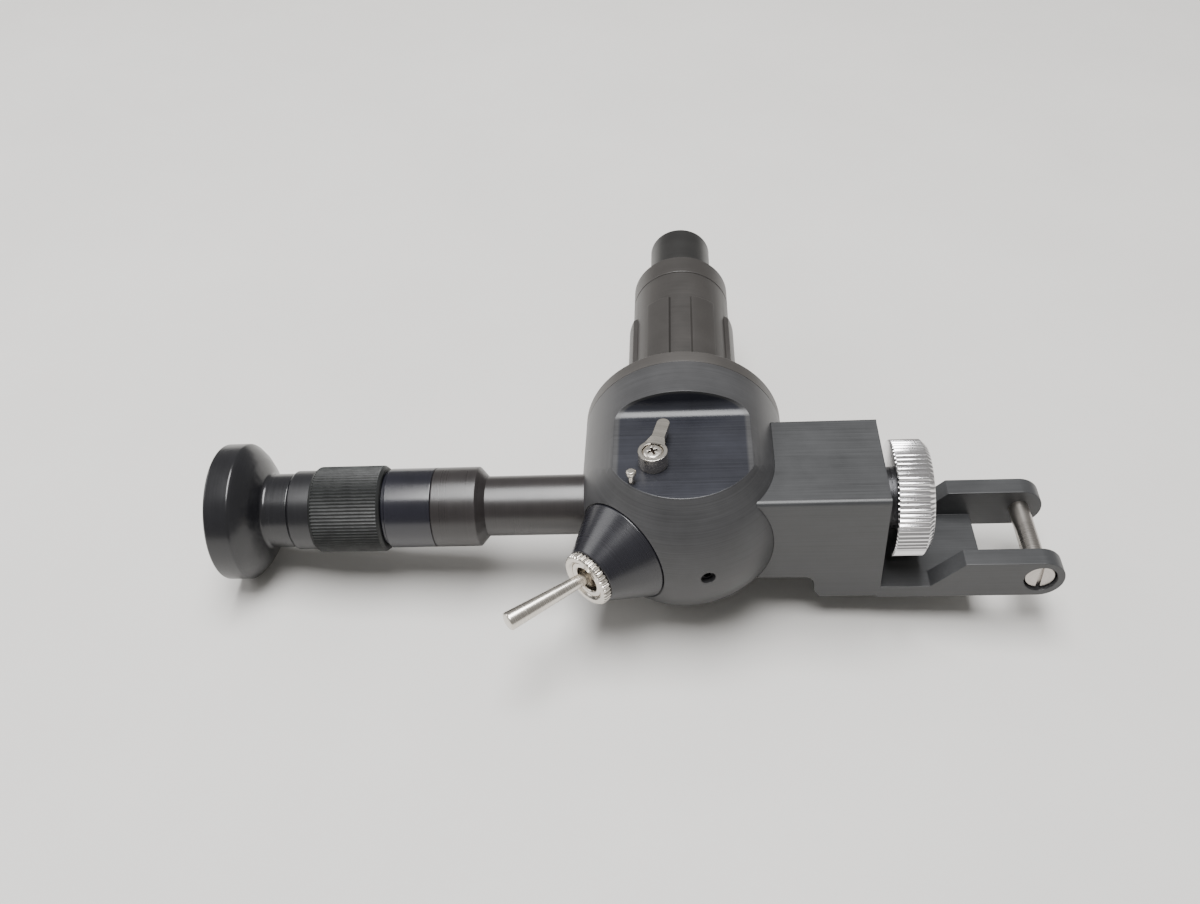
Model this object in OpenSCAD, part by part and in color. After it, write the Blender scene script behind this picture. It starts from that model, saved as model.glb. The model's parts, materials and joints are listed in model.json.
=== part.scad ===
// Lensmeter viewing head: a round head with a prism, a focusing barrel behind it, an eyepiece
// to its left, a lamp switch at its front left corner and, on its right, the bracket that hangs
// it from the stand arm. It lies on its head and on the rim of its eyecup, so the eyepiece axis
// dips a few degrees towards -X. The origin is the middle of the bracket's hinge pin, the
// barrel's nose points along +Y, and Z is up from the surface that it lies on.

/* [Head] */
// Radius of the head: its cylinder, dome and rear plate
head_r = 32; // [31:0.5:36]
// Height of the milled flat above the optical axis
flat_h = 24.5; // [24:0.5:26]
// Slope of the turned taper below the flat, from the vertical
taper_a = 30; // [26:1:32]
// Length of the head's cylinder, from the optical centre to the rear plate's seam
seam_y = 30; // [29:1:36]
// Place of the flat's back wall
flat_back_y = 15.6; // [15:0.2:16]
// Radius of the fillet below the flat's back wall
flat_fillet_r = 4; // [2:0.5:5]
// Radius of the round chamber for the prism
chamber_r = 20; // [19.5:0.5:20.5]
// Thickness of the rear plate
plate_t = 5.4; // [4.5:0.1:8]
// Diameter of the set screw in the dome
dome_screw_d = 4.3; // [3:0.1:5]
// Running clearance between turned parts, on the radius
fit_gap = 0.04; // [0.02:0.01:0.08]

/* [Prism and lamp] */
// Side of the right-angle prism
prism_w = 14.4; // [12:0.2:15]
// Diameter of the lamp
lamp_d = 5; // [3:1:5]
// Diameter of one button cell
cell_d = 11.6; // [9.5:0.1:11.6]
// Height of the stack of two button cells
cell_stack_h = 10.8; // [5.4:0.1:10.8]

/* [Filter lever] */
// Place of the lever's spindle to the left of the optical centre
lever_x = 8.55; // [8:0.05:9]
// Place of the lever's spindle in front of the optical centre
lever_y = 8.2; // [8:0.1:9]
// Diameter of the lever's hub
hub_d = 8.7; // [7:0.1:9.5]
// Height of the lever's hub
hub_h = 5.2; // [4.5:0.1:6]
// Length of the lever's arm, from the spindle to the middle of its round end
lever_arm = 12.4; // [11:0.2:14]
// Width of the lever's arm
lever_w = 3.9; // [3:0.1:4.5]
// Direction of the lever's arm at rest, from +X
lever_a = 76; // [70:1:90]
// Diameter of the lever screw's head
lever_screw_d = 6; // [4:0.1:6.4]
// Diameter of the stop pin's head
stop_head_d = 2.9; // [2:0.1:3.5]

/* [Switch] */
// Direction of the switch, from the eyepiece axis towards the front
switch_a = 47; // [44:1:50]
// Diameter of the switch cone's base
cone_base_d = 33; // [31:0.5:34]
// Diameter of the switch cone's small end
cone_end_d = 17.6; // [17:0.1:19]
// Length of the switch cone
cone_len = 13.6; // [13:0.1:16]
// Diameter of the switch's threaded bush
bush_d = 12; // [11.5:0.1:12]
// Diameter of the switch's dress nut
nut_d = 17.2; // [16:0.1:18]
// Thickness of the dress nut
nut_t = 2.7; // [2:0.1:3.5]
// Length of the toggle, from its ball to its tip
toggle_len = 32; // [26:0.5:36]
// Diameter of the toggle's tip
toggle_tip_d = 5.8; // [5:0.1:6.5]
// Throw of the toggle to each side of the middle
toggle_throw = 10; // [8:1:12]

/* [Eyepiece] */
// Diameter of the thin tube beside the head
tube_d = 18.8; // [18:0.1:20]
// Diameter of the eyepiece barrel
barrel_d = 25; // [24.6:0.1:26]
// Diameter of the knurled dioptre ring
dioptre_d = 27.2; // [26.6:0.1:30]
// Diameter of the eyecup
cup_d = 43.2; // [38:0.2:52]
// Distance from the optical centre to the end of the thin tube
tube_end = 61.2; // [56:0.2:74]
// Length of the collar that takes the tube
collar_len = 16.5; // [14:0.5:20]
// Length of the glossy reticle barrel
reticle_len = 14.6; // [12:0.2:18]
// Length of the dioptre ring
dioptre_len = 22.5; // [20:0.5:28]
// Length of the sleeve that shows beyond the dioptre ring
sleeve_len = 7.2; // [6:0.2:9]
// Length of the eyecup
cup_len = 22.6; // [21:0.1:28]
// Length of the eyecup's rim
cup_band = 8.2; // [5:0.1:9]
// Length of the eyecup's flare
cup_flare = 6.2; // [5:0.1:8]
// Rounding of the eyecup's front edge
cup_edge = 1; // [0.6:0.1:1.4]
// Travel of the ocular to each side of the middle
dioptre_travel = 1.5; // [1:0.1:2]

/* [Barrel] */
// Diameter over the lands of the focus ring
fluted_d = 37.6; // [37:0.2:40]
// Diameter of the focus ring's plain band
band_d = 34.8; // [34:0.2:36]
// Number of lands on the focus ring
lands = 7; // [5:1:9]
// Width of each land
land_w = 8.6; // [6:0.2:9]
// Length of the focus ring
focus_len = 64.6; // [58:0.2:72]
// Length of the lands
land_len = 49.5; // [40:0.5:54]
// Length of the nose collar
nose_collar_len = 10; // [8:0.5:12]
// Diameter of the nose
nose_d = 22.9; // [22.5:0.1:24]
// Length of the nose beyond its collar
nose_len = 28; // [20:1:34]
// Travel of the nose
nose_travel = 4; // [2:0.5:5]

/* [Bracket] */
// Distance from the optical centre to the bracket's right face
block_x = 59.6; // [58:0.2:64]
// Width of the bracket, front to back
block_w = 36.5; // [34:0.5:38]
// Height of the block's top face above the optical axis
block_top = 16.85; // [16:0.05:18]
// Depth of the block's underside below the optical axis
block_bottom = 15.4; // [15:0.1:17]
// Depth of the fork's underside below the optical axis
fork_bottom = 25.45; // [25:0.05:28]
// Place of the step in the underside
step_x = 39.2; // [38.5:0.1:44]
// Thickness of the fork's floor
floor_t = 4.9; // [4:0.1:5.5]
// Height of the ears
ear_h = 14.5; // [13:0.1:15]
// Thickness of one ear
ear_t = 6.3; // [5:0.1:8]
// Length of the fork, from the block to the hinge pin
fork_len = 47.6; // [44:0.2:60]
// Diameter of the hinge pin
pin_d = 6.4; // [5:0.1:7]
// Diameter of the hinge pin's slotted head
pin_head_d = 9.5; // [8:0.1:10]
// Diameter of the clamp knob
knob_d = 35.8; // [32:0.2:38]
// Thickness of the clamp knob
knob_t = 11; // [9:0.5:12]
// Thickness of the washer under the clamp knob
washer_t = 2.8; // [2:0.1:4]
// Diameter of the clamp stud
stud_d = 10; // [8:1:12]

/* [Hidden] */
$fn = 72;

touch = 0.01;                      // joins solids of one piece
seat = 0.02;                       // air left between pieces that are fixed together
head_tap_r = head_r * sin(taper_a);                               // height where the taper starts
flat_front_r = (head_r - flat_h * sin(taper_a)) / cos(taper_a);   // flat's rim, about Z
front_chamber_r = head_r - 8;
plate_end = seam_y + plate_t;

tube_r = tube_d / 2;
tube_bore = tube_r - 2.4;
barrel_r = barrel_d / 2;
collar_end = tube_end + collar_len;
spigot_r = barrel_r - 1.5;
spigot_len = 5.5;
reticle_end = collar_end + reticle_len;
dioptre_start = reticle_end + 1.1;                                // a dark groove shows here
dioptre_end = dioptre_start + dioptre_len;
sleeve_end = dioptre_end + sleeve_len;
cup_end = sleeve_end + cup_len;
guide_r = barrel_r - 1.5;                                         // tube that the ring turns on
guide_end = dioptre_end - 7.9;
ocular_r = guide_r - 1.45;                                        // tube that slides inside it
ocular_bore = ocular_r - 1.35;
neck_r = barrel_r - 0.8;
lens_r = 8.5;
cup_rim = [cup_end - cup_edge, cup_d / 2];                        // the corner that it rests on
rest_tilt = asin(head_r / norm(cup_rim)) - atan2(cup_rim[1], cup_rim[0]);

tube_out_r = 14.5;                                                  // barrel tube's outside radius
nose_r = nose_d / 2;
nose_guide_r = nose_r + 0.15;                                     // the part inside the barrel
focus_start = plate_end + 0.7;
focus_end = focus_start + focus_len;
collar_start = focus_end + 0.25;
nose_start = collar_start + nose_collar_len;
nose_end = nose_start + nose_len;
guide_pin_y = focus_end - 11;
guide_pin_d = 3;
objective_y = focus_end - 20;

block_hw = block_w / 2;
knob_x = block_x + washer_t + 0.05;
pin_x = block_x + fork_len;
pin_z = ear_h / 2 - fork_bottom;
ear_r = ear_h / 2;
stud_start = chamber_r + 2;

cone_seat = 26.6;                                                 // spot face along the switch axis
cone_end = cone_seat + 0.1 + cone_len + 0.3;
case_top = cone_end - 3;
toggle_ball = case_top - 0.3;

prism_h = prism_w / 2;
cell_top = -prism_h - 0.1;
filter_r = 8.2;                                                   // spindle to the glass's middle
gate_r = 12.6;
gate_h = 9.8;

// ---- placing ------------------------------------------------------------------------------

// Modules draw about the optical centre with the eyepiece level; this lays the piece down
module place() rotate([0, -rest_tilt, 0]) translate([-pin_x, 0, -pin_z]) children();
module to_left() rotate([0, -90, 0]) children();                  // +Z to -X
module to_right() rotate([0, 90, 0]) children();                  // +Z to +X
module to_back() rotate([-90, 0, 0]) children();                  // +Z to +Y
module on_switch() rotate([0, 0, 180 + switch_a]) rotate([0, 90, 0]) children();
module at_lever() translate([-lever_x, -lever_y, 0]) children();

module tube(z0, z1, r, bore) translate([0, 0, z0]) difference() {
    cylinder(h = z1 - z0, r = r);
    translate([0, 0, -1]) cylinder(h = z1 - z0 + 2, r = bore);
}

module rod(z0, z1, r) translate([0, 0, z0]) cylinder(h = z1 - z0, r = r);

// A turned piece: points are [radius, place along the axis]
module turned(points) rotate_extrude() polygon(points);

// Straight teeth around a rim, from a polygon with one peak and one valley a tooth
module toothed(z0, z1, r, teeth, depth) translate([0, 0, z0]) linear_extrude(z1 - z0)
    polygon([for (i = [0 : 4 * teeth - 1]) let (a = 90 * i / teeth, k = i % 4)
        (k < 2 ? r : r - depth) * [cos(a), sin(a)]]);

module lens(z, r, t, bulge) let (R = (r * r + bulge * bulge) / (2 * bulge)) intersection() {
    translate([0, 0, z + t - R]) sphere(r = R, $fn = 96);
    translate([0, 0, z - t + R]) sphere(r = R, $fn = 96);
    translate([0, 0, z - t]) cylinder(h = 2 * t, r = r);
}

module rounded_bar(w, h, r) {
    square([w - 2 * r, h], center = true);
    square([w, h - 2 * r], center = true);
    for (x = [-1, 1], y = [-1, 1]) translate([x * (w / 2 - r), y * (h / 2 - r)]) circle(r);
}

// ---- head ---------------------------------------------------------------------------------

// Outside of the head, grown by g: cylinder behind, dome in front, taper under the flat
module head_outside(g, back) {
    r = head_r + g;
    to_back() rod(0, back, r);
    intersection() {
        to_back() rod(-r - 1, touch, r);
        union() {
            sphere(r = r, $fn = 128);
            translate([0, 0, head_tap_r])
                cylinder(h = head_r - head_tap_r, r1 = r * cos(taper_a),
                    r2 = r * cos(taper_a) - (head_r - head_tap_r) * tan(taper_a));
        }
    }
}

module flat_cut() difference() {
    translate([-head_r - 1, -head_r - 1, flat_h])
        cube([2 * head_r + 2, head_r + 1 + flat_back_y, head_r]);
    difference() {
        translate([-head_r - 2, flat_back_y - flat_fillet_r, flat_h - 1])
            cube([2 * head_r + 4, flat_fillet_r + 1, flat_fillet_r + 1]);
        translate([-head_r - 3, flat_back_y - flat_fillet_r, flat_h + flat_fillet_r])
            to_right() cylinder(h = 2 * head_r + 6, r = flat_fillet_r);
    }
}

module chamber() {
    to_back() rod(0, seam_y + 1, chamber_r);
    intersection() {
        sphere(r = front_chamber_r, $fn = 96);
        to_back() rod(-front_chamber_r, touch, chamber_r);
    }
}

module at_dome_screw() rotate([0, 0, -78]) to_right() children();
plate_screw_r = head_r - 6;
module at_plate_screws() for (a = [45 : 90 : 315])
    translate([plate_screw_r * cos(a), 0, plate_screw_r * sin(a)]) to_back() children();
module at_cell_screws() for (y = [-6, 6]) translate([0, y, 0]) children();

module head_body() color([0.10, 0.10, 0.11]) place() difference() {
    head_outside(0, seam_y);
    flat_cut();
    chamber();
    // swing of the filter frame
    at_lever() translate([0, 0, -gate_h / 2 - 0.6]) cylinder(h = gate_h + 1.2, r = gate_r + 0.6);
    // tube, stud, spindle bush, stop pin and set screw
    to_left() rod(tube_d, head_r + 1, tube_r + seat);
    to_right() rod(chamber_r - 2, head_r + 1, stud_d / 2 + seat);
    at_lever() rod(chamber_r * 0.5, flat_h + 1, 4 + seat);
    at_stop_pin() rod(flat_h - 4.5, flat_h + 1, 0.9 + seat);
    at_dome_screw() rod(front_chamber_r - 2, head_r + 1, dome_screw_d / 2 + seat);
    // spot face and wire hole of the switch
    on_switch() rod(cone_seat, head_r + 1, cone_base_d / 2 + 0.3);
    on_switch() rod(cone_seat - 6, cone_seat + 1, 7.5);
    at_plate_screws() rod(seam_y - 8, seam_y + 1, 1.5 + seat);
    at_cell_screws() rod(-head_r - 1, -chamber_r + 1, 1.5 + seat);
    at_cell_screws() rod(-head_r - 1, -head_r + 3.6, 3.1);
}

module rear_plate() color([0.11, 0.11, 0.12]) place() difference() {
    to_back() turned([[tube_out_r + seat, seam_y - 4], [chamber_r - fit_gap, seam_y - 4],
        [chamber_r - fit_gap, seam_y + seat], [head_r, seam_y + seat],
        [head_r, plate_end - 0.5], [head_r - 0.5, plate_end], [tube_out_r + seat, plate_end]]);
    at_plate_screws() rod(seam_y - 1, plate_end + 1, 1.5 + seat);
    at_plate_screws() rod(plate_end - 2, plate_end + 1, 2.9);
}

module rear_plate_screws() color([0.35, 0.35, 0.37]) place() at_plate_screws() difference() {
    union() {
        rod(seam_y - 7.5, plate_end - 2 + 2 * seat, 1.5);
        rod(plate_end - 2 + seat, plate_end - 0.2, 2.75);
    }
    translate([0, 0, plate_end - 1.4]) cylinder(h = 2, r = 1.25, $fn = 6);
}

module prism() color([0.75, 0.85, 0.9, 0.6]) place() intersection() {
    translate([0, 0, -prism_h]) linear_extrude(prism_w)
        polygon([[-prism_h, prism_h], [prism_h, prism_h], [-prism_h, -prism_h]]);
    // the sharp corner beside the spindle is ground away
    rotate([0, 0, 45]) translate([-(lever_x + lever_y) / sqrt(2) + 3, -prism_w, -prism_w])
        cube([3 * prism_w, 3 * prism_w, 2 * prism_w]);
}

module prism_cell() color([0.16, 0.16, 0.17]) place() difference() {
    intersection() {
        to_back() rod(-front_chamber_r, seam_y - 5, chamber_r - fit_gap);
        union() {
            sphere(r = front_chamber_r - fit_gap, $fn = 96);
            to_back() rod(0, seam_y - 5, chamber_r - fit_gap);
        }
        union() {
            translate([-prism_h, -front_chamber_r, -chamber_r])
                cube([2 * prism_h + 0.4, front_chamber_r + prism_h + 2.6, chamber_r + cell_top]);
            rotate([0, 0, 45]) translate([-prism_h + 0.3, -3.3, cell_top - 1])
                cube([prism_w + 2.5, 3.2, prism_w + 1.1]);
        }
    }
    to_right() rod(0, chamber_r, lamp_d / 2 + 0.1);
    at_cell_screws() rod(-chamber_r - 1, -chamber_r + 6.5, 1.5 + seat);
    at_clamp_screws() rod(prism_h - 5, prism_h + 1, 1 + seat);
}

module at_clamp_screws() for (t = [-prism_h + 3, prism_h - 1.5])
    rotate([0, 0, 45]) translate([t, -1.7, 0]) children();

module prism_clamp() color([0.55, 0.56, 0.58]) place() {
    difference() {
        rotate([0, 0, 45]) translate([-prism_h + 0.6, -3.3, prism_h + seat])
            cube([prism_w, 8.5, 1.2]);
        at_clamp_screws() rod(prism_h - 1, prism_h + 3, 1 + seat);
    }
}

module cell_screws() color([0.4, 0.4, 0.42]) place() {
    at_cell_screws() difference() {
        union() {
            rod(-head_r + 3.5 - touch, -chamber_r + 6.2, 1.5);
            rod(-head_r + 1.2, -head_r + 3.5, 2.9);
        }
        translate([0, 0, -head_r + 1]) cylinder(h = 1.5, r = 1.25, $fn = 6);
    }
}

module clamp_screws() color([0.4, 0.4, 0.42]) place() at_clamp_screws() {
    rod(prism_h - 4.8, prism_h + 1.3, 1);
    rod(prism_h + 1.25, prism_h + 2.2, 1.8);
}

lamp_x = prism_h - 2;
board_x = lamp_x + 7;

module lamp() color([0.9, 0.85, 0.5]) place() to_right() {
    rod(lamp_x + 1.2, board_x - 0.1, lamp_d / 2);
    translate([0, 0, lamp_x + 1.2]) intersection() {
        sphere(r = lamp_d / 2, $fn = 48);
        translate([0, 0, -lamp_d / 2]) cylinder(h = lamp_d / 2 + touch, r = lamp_d / 2);
    }
}

module lamp_board() color([0.1, 0.35, 0.2]) place()
    translate([board_x, -6, cell_top + seat]) cube([1.4, 12, 13.5]);

cell_x = 7;
cell_y = -13.5;

module battery_holder() color([0.12, 0.12, 0.13]) place() translate([cell_x, cell_y, 0])
    difference() {
        rod(cell_top + seat, cell_stack_h / 2 + 0.6, cell_d / 2 + 1.1);
        rod(cell_top + 1.6, cell_stack_h, cell_d / 2 + 0.1);
    }

module button_cells() color([0.75, 0.75, 0.77]) place() translate([cell_x, cell_y, 0]) {
    rod(cell_top + 1.7, cell_top + 1.7 + cell_stack_h / 2 - 0.05, cell_d / 2);
    rod(cell_top + 1.65 + cell_stack_h / 2, cell_top + 1.7 + cell_stack_h, cell_d / 2 - 0.3);
}

// A wire with eight sides through a list of points
module wire(points, r) for (i = [0 : len(points) - 2]) {
    v = points[i + 1] - points[i];
    translate(points[i]) rotate([0, acos(v[2] / norm(v)), atan2(v[1], v[0])])
        translate([0, 0, -r / 2]) cylinder(h = norm(v) + r, r = r, $fn = 8);
}

module lamp_leads() color([0.55, 0.1, 0.1]) place() {
    start = [cell_x - 2, cell_y, cell_top + cell_stack_h + 2.8];
    for (s = [-1, 1]) wire([start + [2 * s, 0, 0], [-7, -16.5 + s, 8.3], [-14.2, -15.2 + s, 7.2],
        [-16.9, -18 + s, 6.1], [-17.7, -19, 2 + 2 * s]], 0.45);
}

module dome_screw() color([0.2, 0.2, 0.21]) place() at_dome_screw() difference() {
    rod(front_chamber_r + 0.6, head_r - 1.6, dome_screw_d / 2);
    translate([0, 0, head_r - 3.6]) cylinder(h = 3, r = dome_screw_d * 0.29, $fn = 6);
}

// ---- filter lever -------------------------------------------------------------------------

stop_r = 9.55;                                                     // stop pin's distance
stop_a = 230;                                                      // and its direction
lever_range = stop_a - asin((lever_w / 2 + stop_head_d / 2) / stop_r) - lever_a - 1;
module at_stop_pin() at_lever() translate([stop_r * cos(stop_a), stop_r * sin(stop_a), 0])
    children();
hub_z = flat_h + 0.1;
arm_z = hub_z + hub_h - 2;

module stop_pin() color([0.75, 0.75, 0.74]) place() at_stop_pin() {
    rod(flat_h - 4.4, arm_z - 0.3, 0.9);
    turned([[0, arm_z - 0.4], [stop_head_d / 2, arm_z - 0.4], [stop_head_d / 2, arm_z + 0.7],
        [stop_head_d / 2 - 0.4, arm_z + 1.1], [0, arm_z + 1.1]]);
}

module spindle_bush() color([0.7, 0.58, 0.3]) place() at_lever()
    tube(sqrt(pow(chamber_r, 2) - pow(lever_x, 2)) - 0.5, flat_h, 4, 2.5 + fit_gap);

module filter_spindle() color([0.7, 0.7, 0.7]) place() at_lever() difference() {
    union() {
        rod(-gate_h / 2 - 0.1, 15, 1.5);
        rod(15 - touch, hub_z + 1.8, 2.5);
    }
    rod(hub_z - 5, hub_z + 3, 1.5 + seat);
}

module filter_lever() color([0.78, 0.77, 0.74]) place() at_lever() difference() {
    union() {
        rod(hub_z, hub_z + hub_h, hub_d / 2);
        rotate([0, 0, lever_a]) translate([0, 0, arm_z]) linear_extrude(2) {
            translate([0, -lever_w / 2]) square([lever_arm, lever_w]);
            translate([lever_arm, 0]) circle(lever_w / 2);
            polygon([[0, -3.6], [2.6, -3.1], [6.4, -lever_w / 2], [6.4, lever_w / 2],
                [2.6, 3.1], [0, 3.6]]);
        }
    }
    rod(hub_z - 1, hub_z + 1.9, 2.5 + seat);
    rod(hub_z, hub_z + 4, 1.5 + seat);
    rod(hub_z + hub_h - 2.2, hub_z + hub_h + 1, lever_screw_d / 2 + 0.15);
}

module lever_screw() color([0.72, 0.71, 0.68]) place() at_lever() difference() {
    union() {
        rod(hub_z - 4.6, hub_z + hub_h - 2, 1.5);
        turned([[0, hub_z + hub_h - 2.18], [lever_screw_d / 2, hub_z + hub_h - 2.18],
            [lever_screw_d / 2, hub_z + hub_h - 0.5], [lever_screw_d / 2 - 0.5, hub_z + hub_h - 0.1],
            [0, hub_z + hub_h + 0.05]]);
    }
    for (a = [0, 90]) rotate([0, 0, a + 20]) translate([-1.5, -0.35, hub_z + hub_h - 1.3])
        cube([3, 0.7, 2]);
}

module filter_frame() color([0.14, 0.14, 0.15]) place() at_lever() rotate([0, 0, 90])
    difference() {
        union() {
            rod(-gate_h / 2, gate_h / 2, 2.5);
            translate([1, -0.8, -gate_h / 2]) cube([filter_r - 1, 1.6, gate_h]);
            translate([filter_r, 0, 0]) rotate([90, 0, 0])
                translate([0, 0, -0.8]) intersection() {
                    cylinder(h = 1.6, r = gate_h / 2);
                    translate([0, -gate_h / 2, 0]) cube([gate_r - filter_r, gate_h, 1.6]);
                }
        }
        rod(-gate_h, gate_h, 1.5 + seat);
        translate([filter_r, 1, 0]) rotate([90, 0, 0]) cylinder(h = 2, r = 3.5);
        translate([filter_r, 0.6, 0]) rotate([90, 0, 0]) cylinder(h = 1.2, r = 3.9 + seat);
    }

module filter_glass() color([0.2, 0.7, 0.35, 0.6]) place() at_lever() rotate([0, 0, 90])
    translate([filter_r, 0.55, 0]) rotate([90, 0, 0]) cylinder(h = 1.1, r = 3.9);

// ---- switch -------------------------------------------------------------------------------

case_room = 8.5;                                                   // radius inside the cone

module switch_cone() color([0.06, 0.06, 0.07]) place() difference() {
    on_switch() turned([
        [case_room, cone_seat + 0.05], [cone_base_d / 2 - 0.1, cone_seat + 0.05],
        [cone_base_d / 2 - 0.1, cone_seat + 1], [cone_base_d / 2 - 0.3, cone_seat + 1.2],
        [cone_end_d / 2 + 0.2, cone_end - 0.3], [cone_end_d / 2 - 0.2, cone_end],
        [bush_d / 2 + seat, cone_end], [bush_d / 2 + seat, case_top], [case_room, case_top]]);
    // relief beside the eyepiece tube
    to_left() rod(tube_d, 2 * head_r, tube_r + 0.2);
}

module switch_case() color([0.15, 0.15, 0.16]) place() on_switch() difference() {
    translate([-6.5, -5.2, case_top - 8.9]) cube([13, 10.4, 8.85]);
    rod(case_top - 5, case_top + 1, 4.1);
}

module switch_terminals() color([0.8, 0.7, 0.4]) place() on_switch()
    for (x = [-4, 0, 4]) translate([x - 0.4, -1.2, case_top - 10.6]) cube([0.8, 2.4, 1.68]);

module switch_bush() color([0.72, 0.71, 0.69]) place() on_switch() difference() {
    turned([[4.15, case_top + seat], [bush_d / 2, case_top + seat],
        [bush_d / 2, cone_end + nut_t - 0.9], [bush_d / 2 - 0.3, cone_end + nut_t - 0.6],
        [4.5, cone_end + nut_t - 0.6], [4.15, cone_end + nut_t - 1]]);
    rotate([0, 0, 140]) translate([bush_d / 2 - 1.1, -0.7, case_top + 1]) cube([3, 1.4, 12]);
}

module switch_nut() color([0.78, 0.77, 0.75]) place() on_switch() difference() {
    intersection() {
        toothed(cone_end + 0.03, cone_end + nut_t, nut_d / 2, 36, 0.35);
        turned([[0, cone_end + 0.03], [nut_d / 2 - 0.3, cone_end + 0.03],
            [nut_d / 2 + 0.01, cone_end + 0.3], [nut_d / 2 + 0.01, cone_end + nut_t - 0.6],
            [nut_d / 2 - 0.7, cone_end + nut_t], [0, cone_end + nut_t]]);
    }
    rod(cone_end - 1, cone_end + nut_t + 1, bush_d / 2 + seat);
    translate([0, 0, cone_end + nut_t - 0.7]) cylinder(h = 0.8, r1 = bush_d / 2, r2 = bush_d / 2 + 0.8);
}

// The toggle rests over towards the eyepiece
module toggle_lever() color([0.76, 0.75, 0.72]) place() on_switch()
    translate([0, 0, toggle_ball]) rotate([toggle_throw, 0, 0]) {
        sphere(r = 3.5, $fn = 48);
        turned([[0, 0], [1.7, 0], [1.8, 3], [toggle_tip_d / 2 - 0.05, toggle_len - 1],
            [toggle_tip_d / 2 - 0.5, toggle_len], [0, toggle_len]]);
    }

// ---- eyepiece, along -X ---------------------------------------------------------------------

tube_start = gate_r + 0.6 + lever_x + 0.5;

module eyepiece_tube() color([0.09, 0.09, 0.10]) place() to_left()
    tube(tube_start, collar_end - spigot_len - 0.5, tube_r, tube_bore);

module eyepiece_collar() color([0.08, 0.08, 0.09]) place() to_left() turned([
    [tube_r + seat, tube_end], [barrel_r, tube_end + barrel_r - tube_r - 0.4],
    [barrel_r, collar_end - 0.15], [barrel_r - 0.15, collar_end], [spigot_r + seat, collar_end],
    [spigot_r + seat, collar_end - spigot_len], [tube_r + seat, collar_end - spigot_len]]);

module reticle_barrel() color([0.05, 0.05, 0.08]) place() to_left() turned([
    [9, collar_end - spigot_len + 0.1], [spigot_r, collar_end - spigot_len + 0.1],
    [spigot_r, collar_end + 0.05], [barrel_r - 0.15, collar_end + 0.05],
    [barrel_r, collar_end + 0.2], [barrel_r, reticle_end - 0.3], [barrel_r - 0.3, reticle_end],
    [barrel_r - 0.8, reticle_end], [barrel_r - 0.8, dioptre_start - 0.1],
    [guide_r, dioptre_start - 0.1], [guide_r, guide_end], [ocular_r + fit_gap, guide_end],
    [ocular_r + fit_gap, collar_end + 9], [8, collar_end + 9], [8, collar_end + 6.2],
    [9, collar_end + 6.2]]);

module reticle() color([0.8, 0.88, 0.92, 0.6]) place() to_left()
    rod(collar_end + 4.6, collar_end + 6.15, 9 - fit_gap);

module reticle_ring() color([0.13, 0.13, 0.14]) place() to_left()
    tube(collar_end + 2.4, collar_end + 4.55, 9 - fit_gap, 7.4);

module dioptre_ring() color([0.07, 0.07, 0.07]) place() to_left() difference() {
    intersection() {
        toothed(dioptre_start, dioptre_end, dioptre_d / 2, 78, 0.35);
        turned([[0, dioptre_start], [dioptre_d / 2 - 0.7, dioptre_start],
            [dioptre_d / 2 + 0.01, dioptre_start + 1], [dioptre_d / 2 + 0.01, dioptre_end - 1],
            [dioptre_d / 2 - 0.7, dioptre_end], [0, dioptre_end]]);
    }
    rod(dioptre_start - 1, guide_end + 2, guide_r + fit_gap);
    rod(guide_end + 2 - touch, dioptre_end + 1, barrel_r + fit_gap);
}

module eyepiece_sleeve() color([0.07, 0.07, 0.08]) place() to_left() turned([
    [ocular_bore, dioptre_start + 4], [ocular_r, dioptre_start + 4],
    [ocular_r, guide_end + 2 + dioptre_travel + 0.7],
    [barrel_r, guide_end + 2 + dioptre_travel + 0.7], [barrel_r, sleeve_end - 0.9],
    [barrel_r - 0.3, sleeve_end - 0.3], [barrel_r - 0.9, sleeve_end],
    [ocular_r, sleeve_end], [ocular_r, sleeve_end + 2], [ocular_bore, sleeve_end + 2]]);

cup_r = cup_d / 2;
cup_rise = cup_r - neck_r;
band_z = cup_end - cup_band;
lens_z = sleeve_end + 6.6;

module eyecup() color([0.05, 0.05, 0.055]) place() to_left() turned([
    [ocular_r + seat, sleeve_end + 0.05], [neck_r, sleeve_end + 0.05],
    [neck_r, band_z - cup_flare - 0.9], [neck_r + 0.4, band_z - cup_flare - 0.1],
    [cup_r - cup_rise * 0.55, band_z - cup_flare * 0.72], [cup_r - cup_rise * 0.25, band_z - cup_flare * 0.38],
    [cup_r - 0.5, band_z - 0.3], [cup_r, band_z + 0.5],
    [cup_r, cup_end - cup_edge], [cup_r - cup_edge * 0.3, cup_end - cup_edge * 0.3],
    [cup_r - cup_edge, cup_end], [cup_r - 2, cup_end],
    [9, cup_end - 7.5], [7.4, cup_end - 7.5], [7.4, lens_z + 1.25],
    [lens_r + fit_gap, lens_z + 1.25], [lens_r + fit_gap, sleeve_end + 2.1],
    [ocular_r + seat, sleeve_end + 2.1]]);

module eye_lens() color([0.8, 0.88, 0.92, 0.6]) place() to_left() lens(lens_z, lens_r, 2.2, 1.4);

module eye_lens_ring() color([0.13, 0.13, 0.14]) place() to_left()
    tube(sleeve_end + 2.5, lens_z - 1.35, lens_r, 6.9);

module field_lens() color([0.8, 0.88, 0.92, 0.6]) place() to_left()
    lens(dioptre_start + 10, ocular_bore - fit_gap, 2, 1.3);

module field_lens_ring() color([0.13, 0.13, 0.14]) place() to_left()
    tube(dioptre_start + 5.5, dioptre_start + 8.7, ocular_bore - fit_gap, 6.4);

// ---- barrel, along +Y -----------------------------------------------------------------------

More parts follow.
